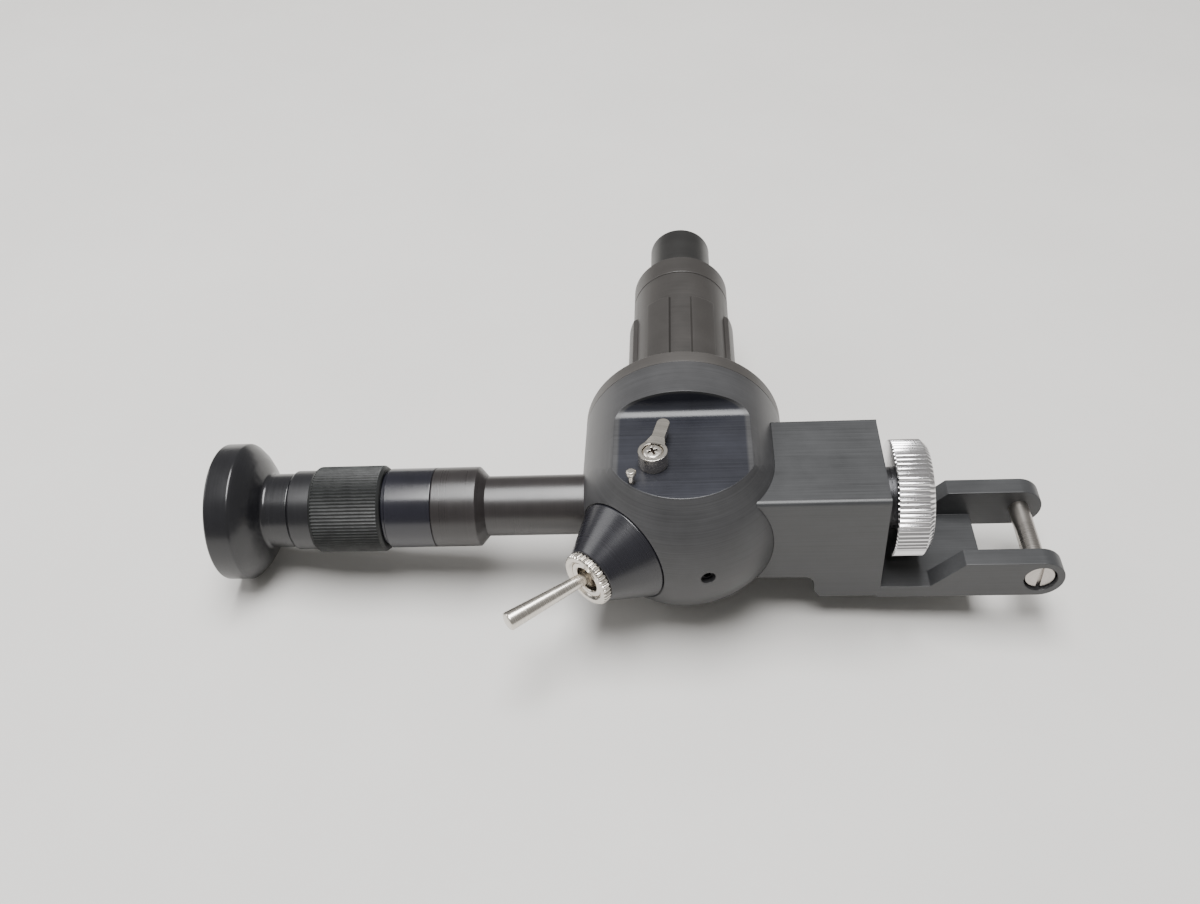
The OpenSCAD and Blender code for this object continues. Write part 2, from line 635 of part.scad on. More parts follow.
module barrel_tube() color([0.13, 0.13, 0.14]) place() difference() {
    to_back() tube(seam_y - 3.5, focus_end - 3, tube_out_r, nose_guide_r + fit_gap);
    // slot for the guide pin
    translate([-guide_pin_d / 2 - 0.05, guide_pin_y - guide_pin_d / 2 - 0.2, 0])
        cube([guide_pin_d + 0.1, guide_pin_d + nose_travel + 0.4, tube_out_r + 1]);
}

module focus_ring() color([0.10, 0.10, 0.10]) place() to_back() difference() {
    union() {
        turned([[tube_out_r + fit_gap, focus_start], [band_d / 2 - 0.3, focus_start],
            [band_d / 2, focus_start + 0.3], [band_d / 2, focus_end - 0.2],
            [band_d / 2 - 0.2, focus_end], [tube_out_r + fit_gap, focus_end]]);
        intersection() {
            turned([[tube_out_r + 1, focus_start + 0.8], [fluted_d / 2 - 0.6, focus_start + 0.8],
                [fluted_d / 2, focus_start + 1.6], [fluted_d / 2, focus_start + land_len - 1.5],
                [tube_out_r + 1, focus_start + land_len + fluted_d / 2 - tube_out_r - 2.5]]);
            for (i = [0 : lands - 1]) rotate([0, 0, (i + 0.5) * 360 / lands - 90])
                translate([0, -land_w / 2, focus_start]) cube([fluted_d, land_w, focus_len]);
        }
    }
    rod(focus_start - 1, focus_end + 1, tube_out_r + fit_gap);
}

module nose_collar() color([0.11, 0.11, 0.11]) place() to_back() turned([
    [nose_guide_r + seat, collar_start], [band_d / 2 - 0.2, collar_start],
    [band_d / 2, collar_start + 0.2], [band_d / 2, nose_start - 0.6],
    [band_d / 2 - 0.6, nose_start], [nose_guide_r + seat, nose_start]]);

module nose_tube() color([0.09, 0.09, 0.09]) place() difference() {
    to_back() turned([[9, objective_y - 6], [nose_guide_r, objective_y - 6],
        [nose_guide_r, nose_start], [nose_r, nose_start], [nose_r, nose_end - 0.5],
        [nose_r - 0.5, nose_end], [9, nose_end], [9, nose_end - 3.2], [8, nose_end - 3.2],
        [8, objective_y + 1.2], [9, objective_y + 1.2]]);
    translate([0, guide_pin_y, 0]) rod(0, tube_out_r, guide_pin_d / 2 + seat);
}

module guide_pin() color([0.6, 0.6, 0.6]) place()
    translate([0, guide_pin_y, 0]) rod(8.6, tube_out_r - 0.3, guide_pin_d / 2);

module objective_lens() color([0.8, 0.88, 0.92, 0.6]) place() to_back()
    lens(objective_y, 9 - fit_gap, 2.3, 1.5);

module objective_ring() color([0.13, 0.13, 0.14]) place() to_back()
    tube(objective_y - 3.9, objective_y - 1.3, 9 - fit_gap, 7.6);

module lens_stop() color([0.03, 0.03, 0.03]) place() to_back() turned([
    [5.5, nose_end - 3.1], [9 - fit_gap, nose_end - 3.1], [9 - fit_gap, nose_end - 0.2],
    [8.2, nose_end + 0.3], [7.2, nose_end + 0.3], [5.5, nose_end - 1.8]]);

// ---- bracket ----------------------------------------------------------------------------------

module bracket_outline() {
    step_r = 5.2;
    difference() {
        union() {
            translate([0, -block_bottom]) square([block_x, block_top + block_bottom]);
            translate([step_x + step_r, -fork_bottom])
                square([block_x - step_x - step_r, fork_bottom]);
            translate([step_x, step_r - fork_bottom])
                square([block_x - step_x, fork_bottom - step_r]);
            translate([step_x + step_r, step_r - fork_bottom]) circle(step_r);
            translate([step_x - 3, -block_bottom - 3]) square([3 + touch, 3 + touch]);
        }
        translate([step_x - 3, -block_bottom - 3]) circle(3);
    }
}

module ear_outline() {
    ramp_end = pin_x - 23;
    ramp_h = ear_h - floor_t;
    polygon([[block_x - 1, -fork_bottom], [pin_x, -fork_bottom], [pin_x, ear_h - fork_bottom],
        [ramp_end, ear_h - fork_bottom], [ramp_end - ramp_h, floor_t - fork_bottom],
        [block_x - 1, floor_t - fork_bottom]]);
    translate([pin_x, pin_z]) circle(ear_r);
}

module front_to_back(w) rotate([90, 0, 0]) translate([0, 0, -w / 2]) linear_extrude(w) children();

module bracket() color([0.12, 0.12, 0.13]) place() difference() {
    union() {
        intersection() {
            front_to_back(block_w) bracket_outline();
            translate([0, 0, (block_top - fork_bottom) / 2]) to_right()
                linear_extrude(block_x) rounded_bar(block_top + fork_bottom, block_w, 1.5);
        }
        for (s = [-1, 1]) translate([0, s * (block_hw - ear_t / 2), 0])
            front_to_back(ear_t) ear_outline();
        translate([block_x - 1, -block_hw + 1, -fork_bottom])
            cube([pin_x - 15.2 - block_x + 1, block_w - 2, floor_t]);
    }
    head_outside(seat, head_r * 2);
    to_right() rod(0, block_x + 1, stud_d / 2 + 0.3);
    translate([pin_x, -block_hw - 1, pin_z]) to_back() rod(0, block_w + 2, pin_d / 2 + seat);
    translate([pin_x, -block_hw - 1, pin_z]) to_back() rod(0, 4.2, pin_head_d / 2 + 0.25);
}

module clamp_washer() color([0.2, 0.2, 0.21]) place() to_right()
    tube(block_x + 0.03, knob_x - seat, 9.5, stud_d / 2 + 0.15);

module clamp_knob() color([0.82, 0.82, 0.83]) place() to_right() difference() {
    intersection() {
        toothed(knob_x, knob_x + knob_t, knob_d / 2, 68, 0.55);
        turned([[0, knob_x], [knob_d / 2 - 0.6, knob_x], [knob_d / 2 + 0.01, knob_x + 0.6],
            [knob_d / 2 + 0.01, knob_x + knob_t - 1.6], [knob_d / 2 - 1.6, knob_x + knob_t],
            [0, knob_x + knob_t]]);
    }
    rod(knob_x - 1, knob_x + knob_t - 3, stud_d / 2 + seat);
    translate([0, 0, knob_x + knob_t - 1]) cylinder(h = 2, r1 = 11, r2 = 12.5);
}

module clamp_stud() color([0.6, 0.6, 0.62]) place() to_right()
    rod(stud_start, knob_x + knob_t - 3.1, stud_d / 2);

module hinge_pin() color([0.75, 0.74, 0.72]) place() translate([pin_x, -block_hw, pin_z])
    to_back() difference() {
        union() {
            rod(3, block_w - 0.3, pin_d / 2);
            turned([[0, 1], [pin_head_d / 2 - 0.4, 1], [pin_head_d / 2, 1.4],
                [pin_head_d / 2, 3.18], [0, 3.18]]);
        }
        translate([-0.6, -pin_head_d / 2 - 1, 0]) cube([1.2, pin_head_d + 2, 2]);
    }

head_body();
rear_plate();
rear_plate_screws();
prism();
prism_cell();
prism_clamp();
clamp_screws();
cell_screws();
lamp();
lamp_board();
battery_holder();
button_cells();
lamp_leads();
dome_screw();
stop_pin();
spindle_bush();
filter_spindle();
filter_lever();
lever_screw();
filter_frame();
filter_glass();
switch_cone();
switch_case();
switch_terminals();
switch_bush();
switch_nut();
toggle_lever();
eyepiece_tube();
eyepiece_collar();
reticle_barrel();
reticle();
reticle_ring();
dioptre_ring();
eyepiece_sleeve();
eyecup();
field_lens();
field_lens_ring();
eye_lens();
eye_lens_ring();
barrel_tube();
focus_ring();
nose_collar();
nose_tube();
guide_pin();
objective_lens();
objective_ring();
lens_stop();
bracket();
clamp_washer();
clamp_knob();
clamp_stud();
hinge_pin();
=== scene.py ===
"""Looks for the lensmeter viewing head: finishes for its machined pieces, and detailed pieces where tools left knurls,
flutes, eased edges and screw recesses. Places and outside sizes come from the loaded frame, detail sizes and colours
from the properties below, and the small steps inside a turned outline are given where it is drawn."""
import json
import math

import bmesh
import bpy
from mathutils import Matrix, Vector


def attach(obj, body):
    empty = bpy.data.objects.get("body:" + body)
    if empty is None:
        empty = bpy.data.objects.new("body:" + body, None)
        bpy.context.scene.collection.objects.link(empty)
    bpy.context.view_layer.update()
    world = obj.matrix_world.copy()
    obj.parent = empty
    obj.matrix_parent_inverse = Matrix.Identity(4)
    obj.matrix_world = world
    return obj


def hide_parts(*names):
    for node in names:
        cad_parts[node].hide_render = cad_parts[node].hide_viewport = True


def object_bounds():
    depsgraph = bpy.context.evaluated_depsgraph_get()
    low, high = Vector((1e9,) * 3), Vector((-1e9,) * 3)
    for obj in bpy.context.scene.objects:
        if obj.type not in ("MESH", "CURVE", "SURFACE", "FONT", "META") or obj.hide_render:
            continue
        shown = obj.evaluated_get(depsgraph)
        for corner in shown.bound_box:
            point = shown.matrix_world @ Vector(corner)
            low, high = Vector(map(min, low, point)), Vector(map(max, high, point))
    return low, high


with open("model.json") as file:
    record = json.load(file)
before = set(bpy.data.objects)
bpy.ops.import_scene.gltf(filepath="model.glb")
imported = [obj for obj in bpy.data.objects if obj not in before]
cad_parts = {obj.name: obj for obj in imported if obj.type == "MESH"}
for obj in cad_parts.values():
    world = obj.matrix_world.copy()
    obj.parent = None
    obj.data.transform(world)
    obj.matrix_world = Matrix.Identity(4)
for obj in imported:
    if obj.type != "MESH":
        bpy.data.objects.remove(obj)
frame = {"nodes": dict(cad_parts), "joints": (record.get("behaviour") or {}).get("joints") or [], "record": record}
cad_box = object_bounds()

bl_info = {
    "name": "Lensmeter viewing head",
    "version": (1, 0, 0),
    "blender": (4, 5, 0),
    "location": "View3D > Sidebar > Lensmeter",
    "description": "Finishes and detailed pieces for a lensmeter viewing head, with its stage",
    "category": "Add Mesh",
}

MM = 0.001
WELD = 2e-6
COPLANAR_ANGLE = math.radians(0.3)
SHARP_ANGLE = math.radians(25)
SMOOTH_ANGLE = math.radians(32)
BODY = {node: body for body, nodes in frame["record"]["behaviour"]["bodies"].items() for node in nodes}
JOINT = {joint["name"]: joint for joint in frame["joints"]}


# ---- places -----------------------------------------------------------------------------------

def head_place():
    """The head's own axes: X along the eyepiece, Y along the barrel, Z out of the milled flat."""
    names = ("washer_slide", "focus_turn", "filter_swing")
    place = Matrix([JOINT[name]["axis"] for name in names]).transposed().to_4x4()
    centre = Vector(JOINT["focus_turn"]["pos_m"])
    place.translation = (centre.x, 0, centre.z)
    return place


def turn(degrees, axis):
    """A turn about one axis."""
    return Matrix.Rotation(math.radians(degrees), 4, axis)


HEAD = head_place()
EYEPIECE = HEAD @ turn(-90, "Y")
BARREL = HEAD @ turn(-90, "X")
CLAMP = HEAD @ turn(90, "Y")
LEVER = HEAD @ Matrix.Translation(HEAD.inverted() @ Vector(JOINT["filter_swing"]["pos_m"]))
BALL = HEAD.inverted() @ Vector(JOINT["toggle_throw"]["pos_m"])
SWITCH = HEAD @ Matrix.Rotation(math.atan2(BALL.y, BALL.x), 4, "Z") @ turn(90, "Y")
TOGGLE = (HEAD @ Matrix.Translation(BALL) @ turn(-JOINT["toggle_throw"]["range_deg"][1] / 2, "Z")
          @ Matrix.Rotation(math.atan2(BALL.y, BALL.x), 4, "Z") @ turn(90, "Y"))
HINGE = HEAD @ Matrix.Translation(HEAD.inverted() @ Vector((0, 0, 0))) @ turn(90, "X")


def span(node, place):
    """Where a node starts and ends along a place's Z axis, and its greatest radius about it."""
    back = place.inverted()
    points = [back @ vertex.co for vertex in frame["nodes"][node].data.vertices]
    along = [point.z for point in points]
    return min(along), max(along), max(math.hypot(point.x, point.y) for point in points)


# ---- modelling --------------------------------------------------------------------------------

def only(piece):
    """Selects one object and makes it the active one."""
    bpy.ops.object.select_all(action="DESELECT")
    piece.select_set(True)
    bpy.context.view_layer.objects.active = piece


def pick(piece, wanted):
    """In edit mode, selects the vertices that wanted(co) accepts."""
    mesh = bmesh.from_edit_mesh(piece.data)
    for vertex in mesh.verts:
        vertex.select_set(wanted(vertex.co))
    mesh.select_flush_mode()
    bmesh.update_edit_mesh(piece.data)


def tidy(piece, smooth_angle):
    """Closes seams and poles, turns the faces outwards and smooths the curved ones."""
    only(piece)
    bpy.ops.object.mode_set(mode="EDIT")
    bpy.ops.mesh.select_all(action="SELECT")
    bpy.ops.mesh.remove_doubles(threshold=WELD)
    bpy.ops.mesh.delete_loose()
    bpy.ops.mesh.normals_make_consistent(inside=False)
    bpy.ops.object.mode_set(mode="OBJECT")
    bpy.ops.object.shade_smooth_by_angle(angle=math.radians(smooth_angle))


def modify(piece, kind, **settings):
    """Adds a modifier and applies it."""
    only(piece)
    modifier = piece.modifiers.new(kind.lower(), kind)
    for name, value in settings.items():
        setattr(modifier, name, value)
    bpy.ops.object.modifier_apply(modifier=modifier.name)


def eased(outline, ease, steps=3):
    """The closed outline with each corner cut back by up to ease and rounded."""
    points = [Vector(point) for point in outline]
    rounded = []
    for index, corner in enumerate(points):
        before, after = points[index - 1] - corner, points[(index + 1) % len(points)] - corner
        cut = min(ease, before.length * 0.4, after.length * 0.4)
        if corner.x < 1e-5 or cut < 1e-6:
            rounded.append(corner)
            continue
        first, last = corner + before.normalized() * cut, corner + after.normalized() * cut
        for step in range(steps + 1):
            t = step / steps
            rounded.append(first * (1 - t) ** 2 + corner * 2 * t * (1 - t) + last * t ** 2)
    return rounded


def turned(name, outline, place, ease=0.15 * MM, sides=96, ribs=(), smooth_angle=30):
    """A turned piece. Its outline is (radius, along) points; a ring is drawn out from point to point. Each rib entry is
    (low, high, outside radius, radii for one rib): there the outside is drawn in to those radii in turn."""
    points = eased(outline, ease)
    bpy.ops.object.select_all(action="DESELECT")
    start = points[0]
    bpy.ops.mesh.primitive_circle_add(vertices=sides, radius=max(start.x, 1e-6), location=(0, 0, start.y))
    piece = bpy.context.active_object
    bpy.ops.object.transform_apply(location=True, rotation=False, scale=False)
    bpy.ops.object.mode_set(mode="EDIT")
    bpy.ops.mesh.select_all(action="SELECT")
    previous = start
    for point in points[1:] + [start]:
        bpy.ops.mesh.extrude_edges_move(TRANSFORM_OT_translate={"value": (0, 0, point.y - previous.y)})
        factor = max(point.x, 1e-6) / max(previous.x, 1e-6)
        bpy.ops.transform.resize(value=(factor, factor, 1), center_override=(0, 0, point.y))
        previous = point
    side_angle = 2 * math.pi / sides
    for low, high, outside, radii in ribs:
        for radius in sorted(set(radii)):

            def on_rib(co):
                step = round(math.atan2(co.y, co.x) / side_angle) % len(radii)
                near = abs(math.hypot(co.x, co.y) - outside) < 0.8 * MM
                return near and low - 1e-6 <= co.z <= high + 1e-6 and radii[step] == radius

            pick(piece, on_rib)
            factor = radius / outside
            bpy.ops.transform.resize(value=(factor, factor, 1), center_override=(0, 0, 0))
    bpy.ops.object.mode_set(mode="OBJECT")
    piece.name = name
    tidy(piece, smooth_angle)
    piece.data.transform(place)
    return piece


def softened(name, node, ease, shortest=0.0):
    """A copy of a machined node with its sharp edges broken, but for those shorter than shortest."""
    source = frame["nodes"][node]
    piece = bpy.data.objects.new(name, source.data.copy())
    bpy.context.scene.collection.objects.link(piece)
    only(piece)
    bpy.ops.object.mode_set(mode="EDIT")
    bpy.ops.mesh.select_all(action="SELECT")
    bpy.ops.mesh.customdata_custom_splitnormals_clear()
    bpy.ops.mesh.mark_sharp(clear=True)
    bpy.ops.mesh.remove_doubles(threshold=WELD)
    bpy.ops.mesh.normals_make_consistent(inside=False)
    bpy.ops.mesh.dissolve_limited(angle_limit=COPLANAR_ANGLE)
    mesh = bmesh.from_edit_mesh(piece.data)
    weight = mesh.edges.layers.float.new("bevel_weight_edge")
    for edge in mesh.edges:
        edge[weight] = edge.calc_face_angle(0) > SHARP_ANGLE and edge.calc_length() >= shortest
    bmesh.update_edit_mesh(piece.data)
    bpy.ops.object.mode_set(mode="OBJECT")
    modify(piece, "BEVEL", width=ease, segments=2, limit_method="WEIGHT", use_clamp_overlap=False)
    only(piece)
    bpy.ops.object.shade_smooth_by_angle(angle=SMOOTH_ANGLE)
    modify(piece, "WEIGHTED_NORMAL", keep_sharp=True)
    return piece


def fit(piece, node, finish):
    """Puts a finished piece in the place of its machined node."""
    only(piece)
    bpy.ops.object.transform_apply(location=True, rotation=True, scale=True)
    piece.data.materials.clear()
    piece.data.materials.append(finish)
    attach(piece, BODY[node])
    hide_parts(node)
    return piece


def dress(finish, *nodes):
    """Gives machined nodes their finish."""
    for node in nodes:
        slots = frame["nodes"][node].material_slots
        if not slots:
            frame["nodes"][node].data.materials.append(finish)
        for material_slot in slots:
            material_slot.material = finish


# ---- finishes ---------------------------------------------------------------------------------

class Finish:
    """A material under construction: one shader, and patterns in a place's own coordinates."""

    def __init__(self, name, place):
        self.material = bpy.data.materials.new(name)
        self.material.use_nodes = True
        self.tree = self.material.node_tree
        self.shader = self.tree.nodes["Principled BSDF"]
        coordinates = self.add("ShaderNodeTexCoord")
        mapping = self.add("ShaderNodeMapping")
        back = place.inverted()
        mapping.inputs["Location"].default_value = back.translation
        mapping.inputs["Rotation"].default_value = back.to_euler("XYZ")
        self.link(coordinates.outputs["Object"], mapping.inputs["Vector"])
        self.point = mapping.outputs["Vector"]
        parts = self.add("ShaderNodeSeparateXYZ")
        self.link(self.point, parts.inputs[0])
        self.x, self.y, self.z = parts.outputs
        self.height = None

    def add(self, kind, **settings):
        """Adds a node."""
        node = self.tree.nodes.new(kind)
        for name, value in settings.items():
            setattr(node, name, value)
        return node

    def link(self, source, target):
        """Joins two sockets."""
        self.tree.links.new(source, target)

    def sum(self, operation, a, b=None, c=None):
        """A maths node of up to three sockets or numbers."""
        node = self.add("ShaderNodeMath", operation=operation)
        for index, value in enumerate((a, b, c)):
            if value is None:
                continue
            if isinstance(value, (int, float)):
                node.inputs[index].default_value = value
            else:
                self.link(value, node.inputs[index])
        return node.outputs[0]

    def vector(self, x, y, z):
        """A vector from three sockets or numbers."""
        node = self.add("ShaderNodeCombineXYZ")
        for index, value in enumerate((x, y, z)):
            if isinstance(value, (int, float)):
                node.inputs[index].default_value = value
            else:
                self.link(value, node.inputs[index])
        return node.outputs[0]

    def radius(self):
        """Distance from the place's Z axis."""
        squares = self.sum("MULTIPLY_ADD", self.x, self.x, self.sum("MULTIPLY", self.y, self.y))
        return self.sum("SQRT", squares)

    def noise(self, vector, scale, detail=3.0, roughness=0.55):
        """Noise between 0 and 1."""
        node = self.add("ShaderNodeTexNoise")
        node.inputs["Scale"].default_value = scale
        node.inputs["Detail"].default_value = detail
        node.inputs["Roughness"].default_value = roughness
        self.link(vector, node.inputs["Vector"])
        return node.outputs["Fac"]

    def spread(self, value, low, high, out_low, out_high):
        """Maps a stretch of values to another, and holds the ends."""
        node = self.add("ShaderNodeMapRange")
        for name, number in (("From Min", low), ("From Max", high), ("To Min", out_low), ("To Max", out_high)):
            node.inputs[name].default_value = number
        self.link(value, node.inputs["Value"])
        return node.outputs["Result"]

    def blend(self, factor, first, second):
        """A colour between two, each a socket or three numbers."""
        node = self.add("ShaderNodeMix", data_type="RGBA")
        self.link(factor, node.inputs["Factor"])
        for name, value in (("A", first), ("B", second)):
            socket = [each for each in node.inputs if each.name == name and each.type == "RGBA"][0]
            if isinstance(value, bpy.types.NodeSocket):
                self.link(value, socket)
            else:
                socket.default_value = (*value[:3], 1)
        return [each for each in node.outputs if each.type == "RGBA"][0]

    def colour(self, value):
        """The base colour, as a socket."""
        self.link(value, self.shader.inputs["Base Color"])

    def rough(self, value):
        """The roughness, as a socket."""
        self.link(value, self.shader.inputs["Roughness"])

    def bump(self, value, depth):
        """Adds relief of that depth in metres, over what is there."""
        node = self.add("ShaderNodeBump")
        node.inputs["Strength"].default_value = 1.0
        node.inputs["Distance"].default_value = depth
        self.link(value, node.inputs["Height"])
        if self.height is not None:
            self.link(self.height, node.inputs["Normal"])
        self.height = node.outputs["Normal"]
        self.link(self.height, self.shader.inputs["Normal"])

    def gloss(self, **values):
        """Sets numbers on the shader's own sockets."""
        for name, value in values.items():
            self.shader.inputs[name.replace("_", " ").title().replace("Ior", "IOR")].default_value = value


def shade(colour, factor):
    """A colour made lighter or darker."""
    return tuple(min(1.0, channel * factor) for channel in colour[:3])


def worn(finish, marks, colour, contrast, low, high, depth):
    """What every metal finish shares: tool marks in colour, gloss and relief, and a faint mottle over all."""
    mottle = finish.noise(finish.point, 55.0, 4.0, 0.6)
    both = finish.sum("MULTIPLY_ADD", mottle, 0.5, finish.sum("MULTIPLY", marks, 0.5))
    finish.colour(finish.blend(finish.spread(both, 0.35, 0.65, 0, 1), shade(colour, 1 - contrast),
                               shade(colour, 1 + contrast)))
    finish.rough(finish.spread(both, 0.3, 0.7, low, high))
    finish.bump(marks, depth)


def turned_marks(finish, pitch):
    """Fine rings that a lathe tool leaves, on the outside and on the faces."""
    rings = finish.vector(finish.sum("MULTIPLY", finish.radius(), 1 / pitch),
                          finish.sum("MULTIPLY", finish.z, 1 / pitch), 0.0)
    return finish.noise(rings, 1.0, 4.0, 0.7)


def turned_metal(name, place, colour, metallic=0.0, low=0.3, high=0.45, contrast=0.2, pitch=0.5 * MM,
                 depth=0.004 * MM, **values):
    """Metal off the lathe."""
    finish = Finish(name, place)
    worn(finish, turned_marks(finish, pitch), colour, contrast, low, high, depth)
    finish.gloss(metallic=metallic, **values)
    return finish.material


def head_black(name, colour, flat_shade_colour):
    """Black anodising over turned and milled aluminium: rings about the barrel's axis behind, level marks in front, and
    straight ones along the flat."""
    finish = Finish(name, HEAD)
    flat = span("spindle_bush", HEAD)[1]
    behind = finish.sum("GREATER_THAN", finish.y, 0.0)
    on_flat = finish.sum("GREATER_THAN", finish.z, flat - 0.05 * MM)
    along_y = finish.sum("MAXIMUM", behind, on_flat)
    across = finish.sum("ADD", finish.sum("MULTIPLY", finish.y, along_y),
                        finish.sum("MULTIPLY", finish.z, finish.sum("SUBTRACT", 1.0, along_y)))
    streaks = finish.vector(finish.sum("MULTIPLY", finish.x, 25.0), finish.sum("MULTIPLY", across, 3200.0),
                            finish.sum("MULTIPLY", finish.z, 25.0))
    marks = finish.noise(streaks, 1.0, 3.0, 0.6)
    barrel_radius = finish.sum("SQRT", finish.sum("MULTIPLY_ADD", finish.x, finish.x,
                                                  finish.sum("MULTIPLY", finish.z, finish.z)))
    outside = span("rear_plate", BARREL)[2]
    # Painted reflection: the milled flat inside the barrel's radius takes its own blue black, made darker than the
    # shell to stand in for dark surroundings mirrored in the gloss.
    flat_shade = finish.sum("MULTIPLY", on_flat, finish.spread(barrel_radius, outside - 1.2 * MM, outside - 0.7 * MM, 1, 0))
    mottle = finish.noise(finish.point, 55.0, 4.0, 0.6)
    both = finish.sum("MULTIPLY_ADD", mottle, 0.5, finish.sum("MULTIPLY", marks, 0.5))
    grain = finish.spread(both, 0.35, 0.65, 0, 1)
    shell = finish.blend(grain, shade(colour, 0.72), shade(colour, 1.28))
    milled = finish.blend(grain, shade(flat_shade_colour, 0.7), shade(flat_shade_colour, 1.3))
    finish.colour(finish.blend(flat_shade, shell, milled))
    finish.rough(finish.sum("SUBTRACT", finish.spread(both, 0.3, 0.7, 0.34, 0.46), finish.sum("MULTIPLY", flat_shade, 0.1)))
    finish.bump(marks, 0.004 * MM)
    finish.gloss(specular_ior_level=0.5)
    return finish.material


def bracket_black(name, colour):
    """Black anodising over aluminium brushed along its length."""
    finish = Finish(name, HEAD)
    streaks = finish.vector(finish.sum("MULTIPLY", finish.x, 30.0), finish.sum("MULTIPLY", finish.y, 2600.0),
                            finish.sum("MULTIPLY", finish.z, 2600.0))
    worn(finish, finish.noise(streaks, 1.0, 3.0, 0.6), colour, 0.25, 0.32, 0.46, 0.004 * MM)
    finish.gloss(specular_ior_level=0.62)
    return finish.material


def rubbed_knurl(name, place, colour, dust, outside):
    """A dull black knurl whose ridges are rubbed grey."""
    finish = Finish(name, place)
    grain = finish.noise(finish.point, 900.0, 4.0, 0.7)
    ridge = finish.spread(finish.radius(), outside - 0.22 * MM, outside, 0.0, 1.0)
    patch = finish.spread(finish.noise(finish.point, 220.0, 5.0, 0.7), 0.42, 0.62, 0.0, 0.75)
    rubbed = finish.sum("MULTIPLY", ridge, patch)
    finish.colour(finish.blend(rubbed, colour, dust))
    finish.rough(finish.spread(grain, 0.3, 0.7, 0.42, 0.62))
    finish.bump(grain, 0.01 * MM)
    return finish.material


def plain_metal(name, colour, metallic=1.0, low=0.2, high=0.35):
    """Small hardware: tumbled and plated."""
    finish = Finish(name, HEAD)
    worn(finish, finish.noise(finish.point, 900.0, 4.0, 0.6), colour, 0.12, low, high, 0.002 * MM)
    finish.gloss(metallic=metallic)
    return finish.material


def moulded(name, colour, low=0.4, high=0.55, grain=1500.0, **values):
    """Moulded plastic, lacquer or insulation with a fine grain."""
    finish = Finish(name, HEAD)
    worn(finish, finish.noise(finish.point, grain, 4.0, 0.6), colour, 0.15, low, high, 0.006 * MM)
    finish.gloss(**values)
    return finish.material


def optical_glass(name, colour):
    """Polished glass with a coating's tint and the faintest dust."""
    finish = Finish(name, HEAD)
    dust = finish.spread(finish.noise(finish.point, 1400.0, 3.0, 0.5), 0.62, 0.75, 0.0, 1.0)
    finish.colour(finish.blend(dust, colour, (0.95, 0.95, 0.95)))
    finish.rough(finish.spread(dust, 0.0, 1.0, 0.0, 0.03))
    finish.gloss(transmission_weight=1.0, ior=1.52)
    return finish.material


def board_lacquer(name, colour, copper):
    """A lacquered circuit board with tracks under the lacquer."""
    finish = Finish(name, HEAD)
    lanes = finish.sum("FRACT", finish.sum("MULTIPLY", finish.y, 420.0))
    track = finish.sum("LESS_THAN", finish.sum("ABSOLUTE", finish.sum("SUBTRACT", lanes, 0.5)), 0.16)
    finish.colour(finish.blend(track, colour, copper))
    finish.rough(finish.spread(finish.noise(finish.point, 600.0), 0.3, 0.7, 0.2, 0.35))
    finish.bump(track, 0.02 * MM)
    return finish.material


def floor_paint(name, colour):
    """A plain pale tabletop."""
    finish = Finish(name, Matrix.Identity(4))
    mottle = finish.noise(finish.point, 9.0, 5.0, 0.6)
    grain = finish.noise(finish.point, 260.0, 3.0, 0.6)
    finish.colour(finish.blend(finish.spread(mottle, 0.35, 0.65, 0, 1), shade(colour, 0.975), shade(colour, 1.02)))
    finish.rough(finish.spread(grain, 0.3, 0.7, 0.5, 0.62))
    finish.bump(grain, 0.03 * MM)
    finish.gloss(specular_ior_level=0.3)
    return finish.material


# ---- properties -------------------------------------------------------------------------------

def length(name, description, millimetres):
    """A length property."""
    return bpy.props.FloatProperty(name=name, description=description, default=millimetres * MM, min=0, precision=5,
                                   unit="LENGTH")


def colour(name, description, red, green, blue):
    """A colour property."""
    return bpy.props.FloatVectorProperty(name=name, description=description, default=(red, green, blue), size=3, min=0,
                                         max=1, subtype="COLOR")


def number(name, description, default):
    """A whole number property."""
    return bpy.props.IntProperty(name=name, description=description, default=default, min=3,
                                 subtype="UNSIGNED")


def share(name, description, default):
    """A property that is a share of another."""
    return bpy.props.FloatProperty(name=name, description=description, default=default, min=0, subtype="FACTOR")


def angle(name, description, degrees):
    """An angle property."""
    return bpy.props.FloatProperty(name=name, description=description, default=math.radians(degrees),
                                   subtype="ANGLE", unit="ROTATION")


class LensmeterSizes(bpy.types.PropertyGroup):
    """Sizes of the detail that tools leave."""
    milled_ease: length("Milled edge", "Rounding of the milled edges", 0.22)
    bracket_ease: length("Bracket edge", "Rounding of the bracket's edges", 0.3)
    turned_ease: length("Turned edge", "Rounding of the turned edges", 0.25)
    small_ease: length("Small edge", "Rounding of the small hardware's edges", 0.1)
    rim_ease: length("Eyecup rim", "Rounding of the eyecup's edges", 0.3)
    dioptre_teeth: number("Dioptre ridges", "Ridges round the dioptre ring", 78)
    dioptre_depth: length("Dioptre ridge depth", "Depth of the dioptre ring's knurl", 0.35)
    knob_teeth: number("Knob ridges", "Ridges round the clamp knob", 68)
    knob_depth: length("Knob ridge depth", "Depth of the clamp knob's knurl", 0.55)
    nut_teeth: number("Nut teeth", "Teeth round the switch's dress nut", 36)
    nut_depth: length("Nut tooth depth", "Depth of the dress nut's teeth", 0.5)
    recess_ease: length("Recess edge", "Rounding of the lever screw's cross recess", 0.05)


